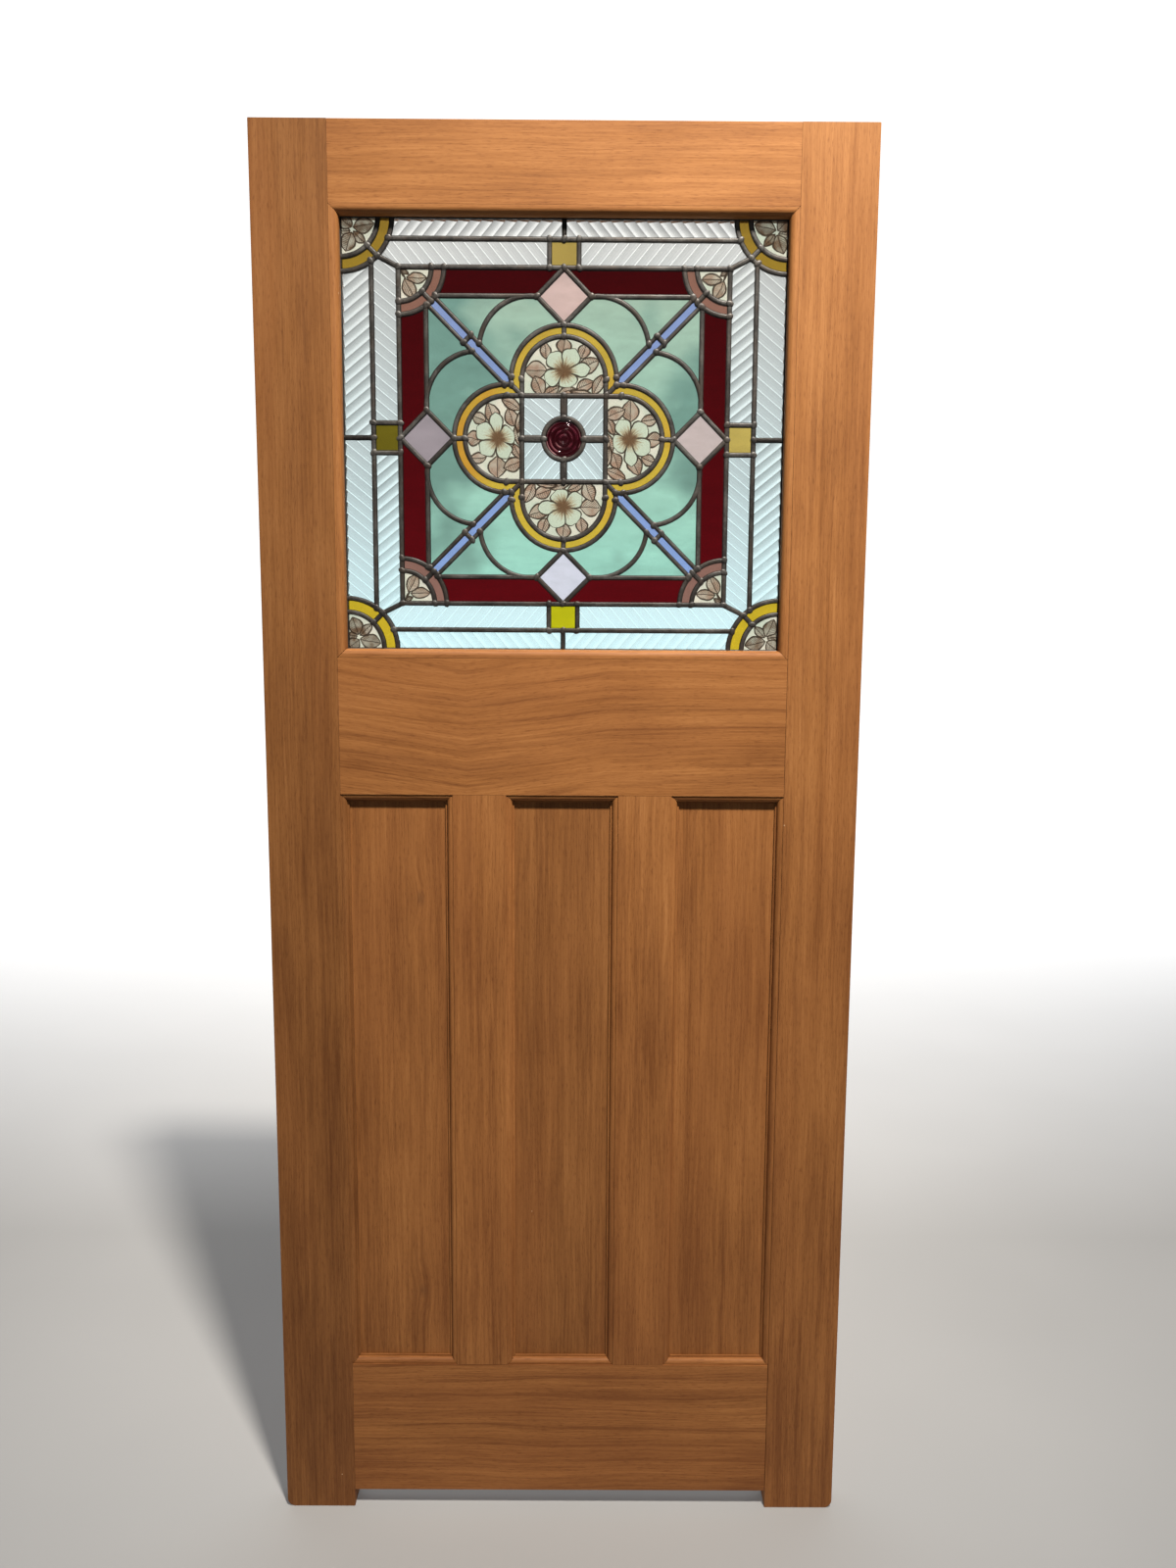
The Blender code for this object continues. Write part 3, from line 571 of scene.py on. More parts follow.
hidden_across, hidden_up = light_corner.x - sight_corner.x, light_corner.y - sight_corner.y
past_top, leaf_past_top = [
    180 - math.degrees(math.asin(hidden_up / radius)) for radius in (outer_radius, outer_leaf_radius)
]
past_side, leaf_past_side = [
    270 + math.degrees(math.asin(hidden_across / radius)) for radius in (outer_radius, outer_leaf_radius)
]
inner_mitre = on_circle(inner_corner, inner_radius, 225)
inner_leaf_mitre = on_circle(inner_corner, inner_leaf_radius, 225)
outer_mitre = on_circle(sight_corner, outer_radius, 225)
outer_leaf_mitre = on_circle(sight_corner, outer_leaf_radius, 225)
joints = []


def came_section(bm, point, across, wide):
    """The cut end of a came, with a low dome at front and back and a line of cement at each side."""
    point = Vector((point[0], 0, point[1]))
    side = Vector((across[0], 0, across[1]))
    rise = came_depth / 2 - cement_level
    quarter = [(wide / 2 + cement_width, cement_level)]
    quarter += [(wide / 2 * out, cement_level + rise * high) for out, high in dome]
    outline = quarter + [(0, came_depth / 2)] + [(-a, b) for a, b in reversed(quarter)]
    outline += [(-a, -b) for a, b in outline]
    return [bm.faces.new([bm.verts.new(point + a * side + b * deep) for a, b in outline])]


def straight_came(bm, start, end, wide=came_width):
    joints.extend((start, end))
    line = Vector((end[0] - start[0], end[1] - start[1]))
    along = line.normalized()
    section = came_section(bm, start, (-along.y, along.x), wide)
    drawn = bmesh.ops.extrude_face_region(bm, geom=section)
    bmesh.ops.translate(bm, verts=points_of(drawn), vec=(line.x, 0, line.y))


def bent_came(bm, centre, radius, first, last, wide=came_width):
    """A came bent round a centre, from one bearing to another."""
    start = on_circle(centre, radius, first)
    joints.extend((start, on_circle(centre, radius, last)))
    outward = on_circle((0, 0), 1, first)
    section = came_section(bm, start, outward, wide)
    steps = max(3, round(abs(last - first) / arc_step))
    bmesh.ops.spin(
        bm, geom=section, cent=(centre[0], 0, centre[1]), axis=(0, -1, 0),
        angle=math.radians(last - first), steps=steps, use_merge=False,
    )


turns = [Matrix.Rotation(math.radians(90 * i), 4, "Y") for i in range(4)]
flip = Matrix.Diagonal((-1, 1, 1, 1))


def quarter_turns(point):
    across, rise = point
    return [(across, rise), (rise, -across), (-across, -rise), (-rise, across)]


def repeated(bm, ways):
    """Copies a set of lengths round the light: by quarter turns, mirrored and turned, or by two mirrors."""
    original = bm.verts[:] + bm.edges[:] + bm.faces[:]
    if ways == "mirrors":
        images = [Matrix.Diagonal((a, 1, b, 1)) for a, b in ((-1, 1), (1, -1), (-1, -1))]
    else:
        images = turns[1:]
        if ways == "eight":
            images = images + [turn @ flip for turn in turns]
    for image in images:
        copied = bmesh.ops.duplicate(bm, geom=original)
        bmesh.ops.transform(bm, matrix=image, verts=points_of(copied))


solder_places = set()


def remember_joints(ways):
    """Notes each new joint, and its images, that shows inside the beads."""
    while joints:
        place = joints.pop()
        if ways == "mirrors":
            images = [(a * place[0], b * place[1]) for a in (1, -1) for b in (1, -1)]
        else:
            images = quarter_turns(place)
            if ways == "eight":
                images += quarter_turns((-place[0], place[1]))
        for across, rise in images:
            if abs(across) < sight_corner.x - joint_inset and abs(rise) < sight_corner.y - joint_inset:
                solder_places.add((round(across, 3), round(rise, 3)))


def laid(ways, *cames):
    """Lays a set of cames, straight ones as two ends and bent ones as a centre, a radius and two bearings,
    and repeats it round the light."""
    bm = bmesh.new()
    for came in cames:
        lay = bent_came if isinstance(came[1], float) else straight_came
        lay(bm, *came)
    remember_joints(ways)
    repeated(bm, ways)
    return bm


foil_low = bearing(foil_centre, notch) - 360
quarters = laid(
    "quarters",
    ((0, 0), rondel_radius, 0, 90),
    ((0, rondel_radius), (0, square_half), cross_came_width),
    ((-square_half, square_half), square_corner),
    (foil_centre, rose_radius, 0, 180),
    (foil_centre, foil_radius, foil_low, 180 - foil_low),
    ((0, foil_centre[1] + rose_radius), (0, foil_crown)),
    (square_corner, notch),
    ((-ruby_line, ruby_line), inner_corner),
    (joint_upper, joint_lower),
    (inner_corner, inner_radius, 180, 270),
    (inner_corner, inner_leaf_radius, 180, 270),
    (inner_leaf_mitre, inner_mitre),
)

lobe_first = bearing(lobe_centre, diamond_side)
lobe_last = bearing(lobe_centre, lobe_end)
eights = laid(
    "eight",
    (square_corner, (square_half, foil_centre[1])),
    ((0, ruby_line), diamond_side),
    (diamond_side, (0, foil_crown)),
    (diamond_side, green_end),
    (bar_start, bar_end, bar_came_width),
    (lobe_centre, lobe_radius, lobe_first, lobe_last),
    ((yellow_half, ruby_line), (yellow_half, strip_up)),
)

edge_middle = Vector((light_corner.x - edge_came_width / 2, light_corner.y - edge_came_width / 2))
mirrored = laid(
    "mirrors",
    ((0, strip_up), top_end),
    ((strip_across, 0), side_end),
    (inner_corner, outer_mitre),
    (outer_leaf_mitre, outer_mitre),
    (sight_corner, outer_radius, past_top, past_side),
    (sight_corner, outer_leaf_radius, leaf_past_top, leaf_past_side),
    ((edge_middle.x, 0), (edge_middle.x, light_corner.y), edge_came_width),
    ((0, edge_middle.y), (light_corner.x, edge_middle.y), edge_came_width),
    ((0, strip_up), (0, edge_middle.y)),
    ((strip_across, 0), (edge_middle.x, 0)),
)

# Solder, a low uneven blob on both faces at each joint.
solder_radius = 0.0048
solder_rise = 0.0008
solder_sunk = 0.0004
solder = bmesh.new()
for count, (across, rise) in enumerate(sorted(solder_places)):
    spread = 1 + 0.18 * math.sin(count * 12.9)
    for face in (-1, 1):
        place = Matrix.Translation((across, face * (came_depth / 2 - solder_sunk), rise))
        size = Vector((solder_radius * spread, solder_rise + solder_sunk, solder_radius / spread, 1))
        turn = Matrix.Rotation(count * 0.7, 4, "Y")
        bmesh.ops.create_uvsphere(
            solder, u_segments=12, v_segments=6, radius=1,
            matrix=place @ turn @ Matrix.Diagonal(size) @ Matrix.Rotation(math.pi / 2, 4, "X"),
        )


def lead_finish():
    """Old lead, dull grey, brown in places and brighter where it is rubbed, with black cement beside it and
    painted shade on its low flanks.
    """
    made, shader, place = new_finish("lead_patina")
    clouds = noise(place, 30, 4)
    grit = noise(place, 420, 3, 0.6)
    shade = clouds * 0.65 + grit * 0.35
    colour = ramp(shade, [
        (0.36, (0.020, 0.0175, 0.0155)),
        (0.50, (0.044, 0.041, 0.038)),
        (0.64, (0.100, 0.096, 0.090)),
    ])
    brown = noise(place, 45, 2).spread(0.5, 0.62, 0, 0.4)
    colour = tinted("MIX", brown, colour, (0.066, 0.048, 0.036))
    # The black covers the cement, which is real, and the low flanks of the came, which is painted shade.
    _, depth, _ = axes(place)
    raised = abs(depth - light_centre.y).spread(cement_level + 0.0001, cement_level + 0.0006)
    colour = tinted("MIX", raised, (0.009, 0.008, 0.007), colour)
    shader.inputs["Metallic"].default_value = 0.4
    fill(shader, {
        "Base Color": colour,
        "Roughness": grit.spread(0.35, 0.65, 0.40, 0.60),
        "Normal": bumped(0.5, 0.0005, shade),
    })
    return made


lattice = bmesh.new()
for part in (quarters, eights, mirrored, solder):
    part_mesh = bpy.data.meshes.new("lengths")
    part.to_mesh(part_mesh)
    part.free()
    lattice.from_mesh(part_mesh)
    bpy.data.meshes.remove(part_mesh)
bmesh.ops.translate(lattice, verts=lattice.verts, vec=light_centre)
stands_for(smoothed(placed("lead_lattice", lattice), lead_finish(), 40), "lead_cames")

# Rolled glass. Flat coloured panes, cut to shape and held in the lead: ruby round the green field, pale
# pink diamonds, green triangles and lobes, blue bars, amber foils and yellow squares. Light from behind
# makes them glow, and the glass has faint streaks and a rippled face.
glass_thickness = 0.003
cut_back = 0.0012
cloud_rise = 0.03


def pane_sheet(path):
    """Draws round a pane, from the middle of one came to the next, and cuts it to fit inside the lead.

    A step of the path is a point, or a centre with the degrees that the edge bends round it.
    """
    bm = bmesh.new()
    first = last = bm.verts.new((path[0][0], 0, path[0][1]))
    for step in path[1:]:
        if isinstance(step[0], (tuple, Vector)):
            (across, rise), sweep = step
            spun = bmesh.ops.spin(
                bm, geom=[last], cent=(across, 0, rise), axis=(0, -1, 0), angle=math.radians(sweep),
                steps=max(3, round(abs(sweep) / arc_step)), use_merge=False,
            )
            last = points_of(spun, "geom_last")[0]
        else:
            following = bm.verts.new((step[0], 0, step[1]))
            bm.edges.new((last, following))
            last = following
    if (last.co - first.co).length > 1e-5:
        bm.edges.new((last, first))
    bmesh.ops.remove_doubles(bm, verts=bm.verts, dist=1e-5)
    bmesh.ops.contextual_create(bm, geom=bm.edges[:])
    bmesh.ops.recalc_face_normals(bm, faces=bm.faces)
    ring = bmesh.ops.inset_region(
        bm, faces=bm.faces[:], thickness=cut_back, use_boundary=True, use_even_offset=True
    )
    bmesh.ops.delete(bm, geom=ring["faces"], context="FACES")
    return bm


def thickened(bm):
    """Gives a sheet of glass its thickness, behind its front face."""
    bmesh.ops.translate(bm, verts=bm.verts, vec=deep * -glass_thickness / 2)
    drawn = bmesh.ops.extrude_face_region(bm, geom=bm.faces[:])
    for vert in points_of(drawn):
        vert.co.y = glass_thickness / 2
    return bm


sides = ("top", "right", "bottom", "left")
corners = ("top_right", "bottom_right", "bottom_left", "top_left")
mirrors = [Matrix.Diagonal((a, 1, b, 1)) for a, b in ((1, 1), (1, -1), (-1, -1), (-1, 1))]
by_side = list(zip(turns, sides))
by_corner = list(zip(turns, corners))
by_mirror = list(zip(mirrors, corners))
by_half = [
    (image, f"{side}_{sides[(count + step) % len(sides)]}")
    for count, (turn, side) in enumerate(by_side)
    for image, step in ((turn, 1), (turn @ flip, -1))
]


def pane(name, sheet, image, finish, cad_node, sharp=30):
    """Sets one pane in its place in the light, as an image of the drawn one."""
    bm = sheet.copy()
    bmesh.ops.transform(bm, matrix=image, verts=bm.verts)
    bmesh.ops.translate(bm, verts=bm.verts, vec=light_centre)
    stands_for(smoothed(placed("pane_" + name, bm), finish, sharp), cad_node)


def glassy(shader, clear, rough):
    shader.inputs["Transmission Weight"].default_value = clear
    shader.inputs["Roughness"].default_value = rough
    shader.inputs["IOR"].default_value = 1.5
    shader.inputs["Specular IOR Level"].default_value = 0.2


def stained_finish(name, upper, lower, clear, rough, second=None, grain=(12, 12, 30), ripple=0.25):
    """Coloured glass with soft streaks, from one tone at the top of the light to another at its bottom,
    which is painted light from behind.

    A second tone comes in soft clouds with three numbers, for how much it gathers on the left and at both
    sides, which is painted shade, and a little above the middle.
    """
    made, shader, place = new_finish(name)
    across, _, height = axes(place)
    # Painted light: the colour changes from the top of the light to its bottom, as the light behind it
    # does.
    colour = tinted("MIX", height.spread(light_bottom, light_top), lower, upper)
    if second:
        tone, left, sides, middle = second
        aside = across - light_centre.x
        away = abs(height - light_centre.z - cloud_rise)
        # Painted shade: more of the second tone on the left and at both sides of the light.
        share = noise(place, 9, 2) - aside * left + abs(aside) * sides
        colour = tinted("MIX", (share - away * middle).spread(0.44, 0.64), colour, tone)
    streak = noise(place, grain, 6, 0.7).spread(0.3, 0.7, 0.88, 1.12)
    glassy(shader, clear, rough)
    fill(shader, {
        "Base Color": tinted("MULTIPLY", 1.0, colour, grey(streak)),
        "Normal": bumped(ripple, 0.002, noise(place, 60, 3)),
    })
    return made


# The top and bottom colours of each glass are painted light from behind: the ruby and the corner amber are
# darker at the top, the green paler and bluer below.
ruby = stained_finish(
    "ruby_glass", (0.036, 0.0004, 0.0010), (0.095, 0.0008, 0.0030), 0.97, 0.06, grain=(9, 9, 40)
)
green = stained_finish(
    "green_glass", (0.350, 0.430, 0.330), (0.290, 0.640, 0.530), 0.94, 0.15,
    ((0.160, 0.295, 0.245), 0.45, 0.8, 0.9),
)
blue = stained_finish("blue_glass", (0.225, 0.285, 0.490), (0.220, 0.345, 0.640), 0.94, 0.15)
amber = stained_finish(
    "foil_glass", (0.470, 0.325, 0.055), (0.570, 0.430, 0.040), 0.92, 0.18,
    ((0.510, 0.275, 0.035), 0.5, 0.0, 0.0),
)
brown_pink = stained_finish("arc_glass", (0.250, 0.120, 0.083), (0.250, 0.135, 0.110), 0.85, 0.25)
corner_amber = stained_finish("corner_glass", (0.270, 0.165, 0.022), (0.540, 0.400, 0.020), 0.92, 0.18)

bar_turn = bearing(foil_centre, bar_start)
inner_meet = bearing(inner_corner, green_end)
inner_bar = bearing(inner_corner, bar_end)
blunt = 0.070
lobe_blunt = math.degrees(math.acos((blunt - lobe_centre[0]) / lobe_radius))


def glazed(places, kind, path, finish, cad_node):
    """Cuts a pane and sets it in all its places round the light."""
    sheet = thickened(pane_sheet(path))
    for image, where in places:
        pane(f"{kind}_{where}", sheet, image, finish, cad_node.format(where))


glazed(by_half, "ruby", [
    (0, ruby_line), inner_start, (inner_corner, inner_meet - 180), diamond_side,
], ruby, "ruby_{}")
glazed(by_half, "green_triangle", [
    (blunt, green_line), green_end, (inner_corner, inner_bar - inner_meet), lobe_end,
    (lobe_centre, lobe_blunt - lobe_last),
], green, "green_{}")
glazed(by_half, "green_lobe", [
    diamond_side, (lobe_centre, lobe_last - lobe_first), bar_start, (foil_centre, 90 - bar_turn),
], green, "green_{}")
glazed(by_half, "foil", [
    (0, foil_centre[1] + rose_radius), (0, foil_crown), (foil_centre, foil_low - 90),
    square_corner, (square_half, foil_centre[1]), (foil_centre, 90),
], amber, "foil_band")
glazed(by_corner, "bar_inner", [
    notch, (foil_centre, bar_turn - foil_low), joint_upper, joint_lower, bar_start[::-1],
    ((foil_centre[1], 0), foil_low - bar_turn),
], blue, "bar_{}")
glazed(by_corner, "bar_outer", [
    joint_upper, bar_end, (inner_corner, bearing(inner_corner, bar_end[::-1]) - inner_bar), joint_lower,
], blue, "bar_{}")
glazed(by_corner, "inner_arc_upper", [
    inner_start, (inner_corner, 45), inner_leaf_mitre, (inner_corner, -45),
], brown_pink, "inner_leaf_{}")
glazed(by_corner, "inner_arc_lower", [
    inner_mitre, (inner_corner, 45),
    (ruby_line, ruby_line - inner_leaf_radius), (inner_corner, -45),
], brown_pink, "inner_leaf_{}")
glazed(by_mirror, "outer_arc_upper", [
    on_circle(sight_corner, outer_radius, past_top), (sight_corner, 225 - past_top),
    outer_leaf_mitre, (sight_corner, leaf_past_top - 225),
], corner_amber, "outer_leaf_{}")
glazed(by_mirror, "outer_arc_lower", [
    outer_mitre, (sight_corner, past_side - 225),
    on_circle(sight_corner, outer_leaf_radius, leaf_past_side), (sight_corner, 225 - leaf_past_side),
], corner_amber, "outer_leaf_{}")

diamond_sheet = thickened(pane_sheet([
    (0, ruby_line), diamond_side, (0, foil_crown), (-diamond_half, green_line),
]))
yellow_sheet = thickened(pane_sheet([
    (-yellow_half, ruby_line), (yellow_half, ruby_line), (yellow_half, strip_up), (-yellow_half, strip_up),
]))
# Painted light: the diamonds are one pale pink glass and the squares one yellow glass, given lit and shaded
# colours for each side, darkest on the left and bluish or brightest below.
painted_light_tones = {
    "top": ((0.580, 0.430, 0.390), (0.380, 0.280, 0.070)),
    "right": ((0.520, 0.440, 0.420), (0.460, 0.360, 0.090)),
    "bottom": ((0.580, 0.600, 0.680), (0.450, 0.440, 0.006)),
    "left": ((0.310, 0.270, 0.290), (0.130, 0.105, 0.007)),
}
for turn, side in by_side:
    pale, strong = painted_light_tones[side]
    pink = stained_finish("diamond_glass_" + side, pale, pale, 0.92, 0.2)
    yellow = stained_finish("yellow_glass_" + side, strong, strong, 0.90, 0.2)
    pane(f"diamond_{side}", diamond_sheet, turn, pink, f"diamond_{side}")
    pane(f"yellow_square_{side}", yellow_sheet, turn, yellow, f"yellow_square_{side}")

# Reeded glass. Clear glass with slanting convex ribs pressed in its face fills the four squares round the
# rondel and the two border rows. The ribs lean one way in one strip and the other way in the next.
reed_pitch = 0.0122
reed_rise = 0.0006
steep, shallow = 50, 39


def reed_direction(slope):
    """Across the ribs, which rise to the right by a number of degrees, or fall where it is negative."""
    turn = math.radians(slope)
    return Vector((-math.sin(turn), 0, math.cos(turn)))


def reeded(bm, slope, image):
    """Presses the ribs into the front of a sheet that will be set as the given image of itself."""
    across = image.inverted().to_3x3() @ reed_direction(slope)
    reaches = [vert.co.dot(across) for vert in bm.verts]
    step = reed_pitch / 6
    for count in range(math.ceil(min(reaches) / step), math.floor(max(reaches) / step) + 1):
        bmesh.ops.bisect_plane(
            bm, geom=bm.verts[:] + bm.edges[:] + bm.faces[:], dist=1e-6,
            plane_co=across * count * step, plane_no=across,
        )
    for vert in bm.verts:
        phase = (vert.co.dot(across) / reed_pitch) % 1
        vert.co.y = -reed_rise * (1 - (2 * phase - 1) ** 2)
    return bm


def reeded_finish(slope):
    """Clear pressed glass, painted white above and pale blue green below as painted light from behind, and
    painted darker higher up the upright strips as painted shade. Each rib has a painted highlight, a bright
    line beside the dark valley, and painted shade across it. It is broad in the outer rows above and below
    and in the upright strips with rising ribs, and narrow elsewhere."""
    made, shader, place = new_finish(f"reeded_{'falling' if slope < 0 else 'rising'}_{abs(slope)}")
    centred = vector("SUBTRACT", place, light_centre)
    reach = vector("DOT_PRODUCT", centred, reed_direction(slope))
    phase = (reach * (1 / reed_pitch) + 100).apply("FRACT")
    # Painted highlight and shade: a bright line beside each dark valley, fading across the rib.
    narrow, broad = [
        ramp(phase, [(at, (level, level, level)) for at, level in stops])
        for stops in (
            (
                (0, 0.44), (0.02, 1), (0.12, 1), (0.15, 0.62), (0.46, 0.68), (0.50, 0.54), (0.56, 0.64),
                (0.96, 0.56), (1, 0.44),
            ),
            ((0, 0.30), (0.03, 0.95), (0.16, 1), (0.34, 0.82), (0.46, 0.66), (0.90, 0.46), (1, 0.30)),
        )
    ]
    across, _, level = axes(centred)
    outward = abs(across).apply("MAXIMUM", abs(level))
    if abs(slope) == steep:
        lines = tinted("MIX", outward.apply("GREATER_THAN", strip_up), narrow, broad)
    else:
        lines = narrow if slope < 0 else broad
    # Painted light from behind, white above and pale blue green below, and painted shade higher up the
    # upright strips.
    rise = level.spread(-light_corner.y, light_corner.y)
    colour = tinted("MIX", rise, (0.67, 0.95, 1.0), (0.96, 0.955, 0.92))
    upright = abs(across).apply("GREATER_THAN", abs(level))
    colour = tinted("MULTIPLY", upright * rise * 0.3, colour, (0.5, 0.5, 0.5))
    # The painted rib pattern is strongest above and in the upright strips, and fades in the lower half.
    strength = rise.spread(0, 0.5, 0.27, 1) + upright * 0.15
    glassy(shader, 0.92, 0.12)
    fill(shader, {"Base Color": tinted("MULTIPLY", strength, colour, lines)})
    return made


reeded_finishes = {slope: reeded_finish(slope) for slope in (steep, -steep, shallow, -shallow)}
square_path = [
    (rondel_radius, 0), (square_half, 0), square_corner, (0, square_half), (0, rondel_radius),
    ((0, 0), -90),
]
for (turn, corner), slope in zip(by_corner, (steep, -steep, steep, -shallow)):
    sheet = thickened(reeded(pane_sheet(square_path), slope, turn))
    pane(
        f"reeded_square_{corner}", sheet, turn, reeded_finishes[slope], "reeded_square", 18
    )

top_meet, side_meet = bearing(sight_corner, top_end), bearing(sight_corner, side_end)
strips = {
    "inner_across": ([
        (yellow_half, ruby_line), inner_corner, outer_mitre, (sight_corner, top_meet - 225),
        (yellow_half, strip_up),
    ], steep),
    "inner_upright": ([
        (ruby_line, yellow_half), (strip_across, yellow_half), side_end, (sight_corner, 225 - side_meet),
        inner_corner,
    ], shallow),
    "outer_across": ([
        (0, strip_up), top_end, (sight_corner, past_top - top_meet), (0, light_corner.y),
    ], -steep),
    "outer_upright": ([
        (strip_across, 0), (light_corner.x, 0), on_circle(sight_corner, outer_radius, past_side),
        (sight_corner, side_meet - past_side),
    ], -shallow),
}
for kind, (path, first_slope) in strips.items():
    for count, (image, corner) in enumerate(by_mirror):
        slope = first_slope if count % 2 == 0 else -first_slope
        sheet = thickened(reeded(pane_sheet(path), slope, image))
        name = f"reeded_{kind}_{corner}"
        pane(name, sheet, image, reeded_finishes[slope], "reeded_border", 18)

# Painted panes. Pale glass with brown lines and washes fired on it: an open rose with five petals among
# leaves in the four panes round the middle, and a sprig of leaves in each corner. It is all colour on a
# flat face. Each drawing is in millimetres, from the heart of the rose or from the corner of the pane.
rose_heart = 90.7
rose_leaves = (
    ((-1.5, 23), (1.3, 44), 10),
    ((-24.5, 16), (-27, 38), 7.5),
    ((24, 16), (31, 36), 8),
    ((-23, 1), (-53, 1), 12.5),
    ((-29, -34), (-40, -7), 9.5),
    ((18, 0), (48, 14), 10),
    ((17, -23), (41, -14), 8.5),
    ((40, -32), (53.5, -5), 7.5),
    ((-28, -32), (-6, -21), 6),
    ((-9, -31), (17, -24), 5.5),
    ((38, -31), (9, -28), 4.5),
)
rose_petals = (
    ((0, 0), (9, -22), 13.5),
    ((0, 0), (-26, -14), 12),
    ((0, 0), (36, 3), 9.5),
    ((0, 0), (-19.5, 23.5), 13),
    ((0, 0), (15.5, 29), 13),
)
inner_sprig = (
    ((2.5, 4), (9.5, 15), 0.6),
    ((3, 3), (14, 9), 2.5),
    ((8, 15.5), (21, 40), 8.5),
    ((11.5, 13.5), (38.5, 14.5), 7.5),
)
outer_sprig = (
    ((13.5, 17.5), (0, 19.5), 6.5),
    ((15, 13), (1.5, 2), 8.5),
    ((17.5, 18.5), (33, 33.5), 6),
    ((15, 19.5), (6.5, 43.5), 10),
    ((17, 13), (46, 7), 10),
)


def painted_leaf(spot, start, tip, half, petal):
    """A leaf from its stalk to its tip, hatched most on one side of its rib, or a petal with a broad end.
    Gives its area and its lines."""
    line = Vector((tip[0] - start[0], 0, tip[1] - start[1]))
    length = line.length
    away = vector("SUBTRACT", spot, (start[0], 0, start[1]))
    along = vector("DOT_PRODUCT", away, line / length ** 2)
    sideways = vector("DOT_PRODUCT", away, Vector((-line.z, 0, line.x)) / length)
    aside = abs(sideways)
    if petal:
        along = along.apply("MAXIMUM", -0.5)
        square = along * along
        within = along * (square * square).rest() * (1.87 * half) - aside
    else:
        within = along * along.rest() * (4 * half) - aside
    area = within.spread(-0.2, 0.2)
    rim = abs(within).spread(0.8, 1.4, 1, 0)
    if petal:
        return area, rim
    veins = (along * (length / 3) - aside * 0.3 + 100).apply("FRACT").spread(0.2, 0.4, 1, 0)
    veins = veins * sideways.spread(-1.5, 1.5, 0.35, 0.85)
    rib = aside.spread(0.3, 0.8, 1, 0)
    return area, rim.apply("MAXIMUM", area * rib.apply("MAXIMUM", veins))


def overlaid(spot, shapes, petal=False):
    """Several leaves or petals, each over the ones before it. Gives their area and their lines."""
    area, ink = painted_leaf(spot, *shapes[0], petal)
    for shape in shapes[1:]:
        shape_area, shape_ink = painted_leaf(spot, *shape, petal)
        area = area.apply("MAXIMUM", shape_area)
        ink = (ink * shape_area.rest()).apply("MAXIMUM", shape_ink)
    return area, ink


def rose_heart_fibres(spot):
    """The brown heart of the rose, and the golden stamens that stand out from it."""
    across, _, rise = axes(spot)
    reach = vector("LENGTH", spot)
    ray = node("CombineXYZ", {"X": rise.apply("ARCTAN2", across) * 9, "Y": reach * 0.05})
    fibre = noise(ray, 1, 4, 0.8)
    heart = (fibre * 24 - 2 - reach).spread(-2.5, 2.5)
    stamens = (fibre * 50 - 9 - reach).spread(-2, 4, 0, 0.6)
    return heart * fibre.spread(0.40, 0.60, 0.80, 1), stamens


def choose(share, first, second):
    """The first number where the share is 0, and the second where it is 1."""
    return (second - first) * share + first


def painted_finish(name, drawing, wash, corner=None):
    """Pale glass, washed with colour and drawn over in brown. A drawing from a corner is mirrored into the
    other corners. Without a corner it is turned into the four sides of the light, with a rose over it."""
    made, shader, place = new_finish(name)
    centred = vector("MULTIPLY", vector("SUBTRACT", place, light_centre), (1000, 1000, 1000))
    across, _, rise = axes(centred)
    from_side, from_level = abs(across), abs(rise)
    if corner:
        sideways = from_side * -1 + 1000 * corner[0]
        outward = from_level * -1 + 1000 * corner[1]
    else:
        beside = from_side.apply("GREATER_THAN", from_level)
        right_half, upper_half = across.apply("SIGN"), rise.apply("SIGN")
        sideways = choose(beside, across * upper_half, rise * right_half * -1)
        outward = from_side.apply("MAXIMUM", from_level) - rose_heart
    shaken = {
        "X": sideways + (noise(place, 70, 2) - 0.5) * 5,
        "Z": outward + (noise(place, 62, 2) - 0.5) * 5,
    }
    spot = node("CombineXYZ", shaken)
    area, ink = overlaid(spot, drawing)
    clouds = noise(place, 28, 3)
    colour = ramp(clouds, [(0.35, (0.55, 0.61, 0.49)), (0.65, (0.72, 0.68, 0.56))])
    patches = noise(place, 90, 2).spread(0.35, 0.65, 0.45, 1)
    colour = tinted("MIX", area * patches, colour, wash)
    if not corner:
        petals, lines = overlaid(spot, rose_petals, True)
        heart, stamens = rose_heart_fibres(spot)
        colour = tinted("MIX", petals, colour, (0.530, 0.600, 0.470))
        ink = (ink * petals.rest()).apply("MAXIMUM", lines) * heart.rest()
        colour = tinted("MIX", stamens, colour, (0.340, 0.190, 0.055))
        colour = tinted("MIX", heart * 0.9, colour, (0.100, 0.034, 0.008))
    colour = tinted("MIX", ink * 0.95, colour, (0.032, 0.017, 0.008))
    glassy(shader, 0.85, 0.15)
    fill(shader, {"Base Color": colour})
    return made


rose_paint = painted_finish("rose_paint", rose_leaves, (0.40, 0.27, 0.19))
inner_paint = painted_finish("inner_leaf_paint", inner_sprig, (0.38, 0.27, 0.19), inner_corner)
outer_paint = painted_finish("outer_leaf_paint", outer_sprig, (0.150, 0.094, 0.054), sight_corner)
glazed(by_side, "rose", [
    (-square_half, square_half), square_corner, (square_half, foil_centre[1]),
    (foil_centre, 180),
], rose_paint, "rose_{}")
glazed(by_corner, "inner_leaf", [
    inner_corner, (ruby_line - inner_leaf_radius, ruby_line), (inner_corner, 90),
], inner_paint, "inner_leaf_{}")
glazed(by_mirror, "outer_leaf", [
    light_corner, on_circle(sight_corner, outer_leaf_radius, leaf_past_top),
    (sight_corner, leaf_past_side - leaf_past_top),
], outer_paint, "outer_leaf_{}")

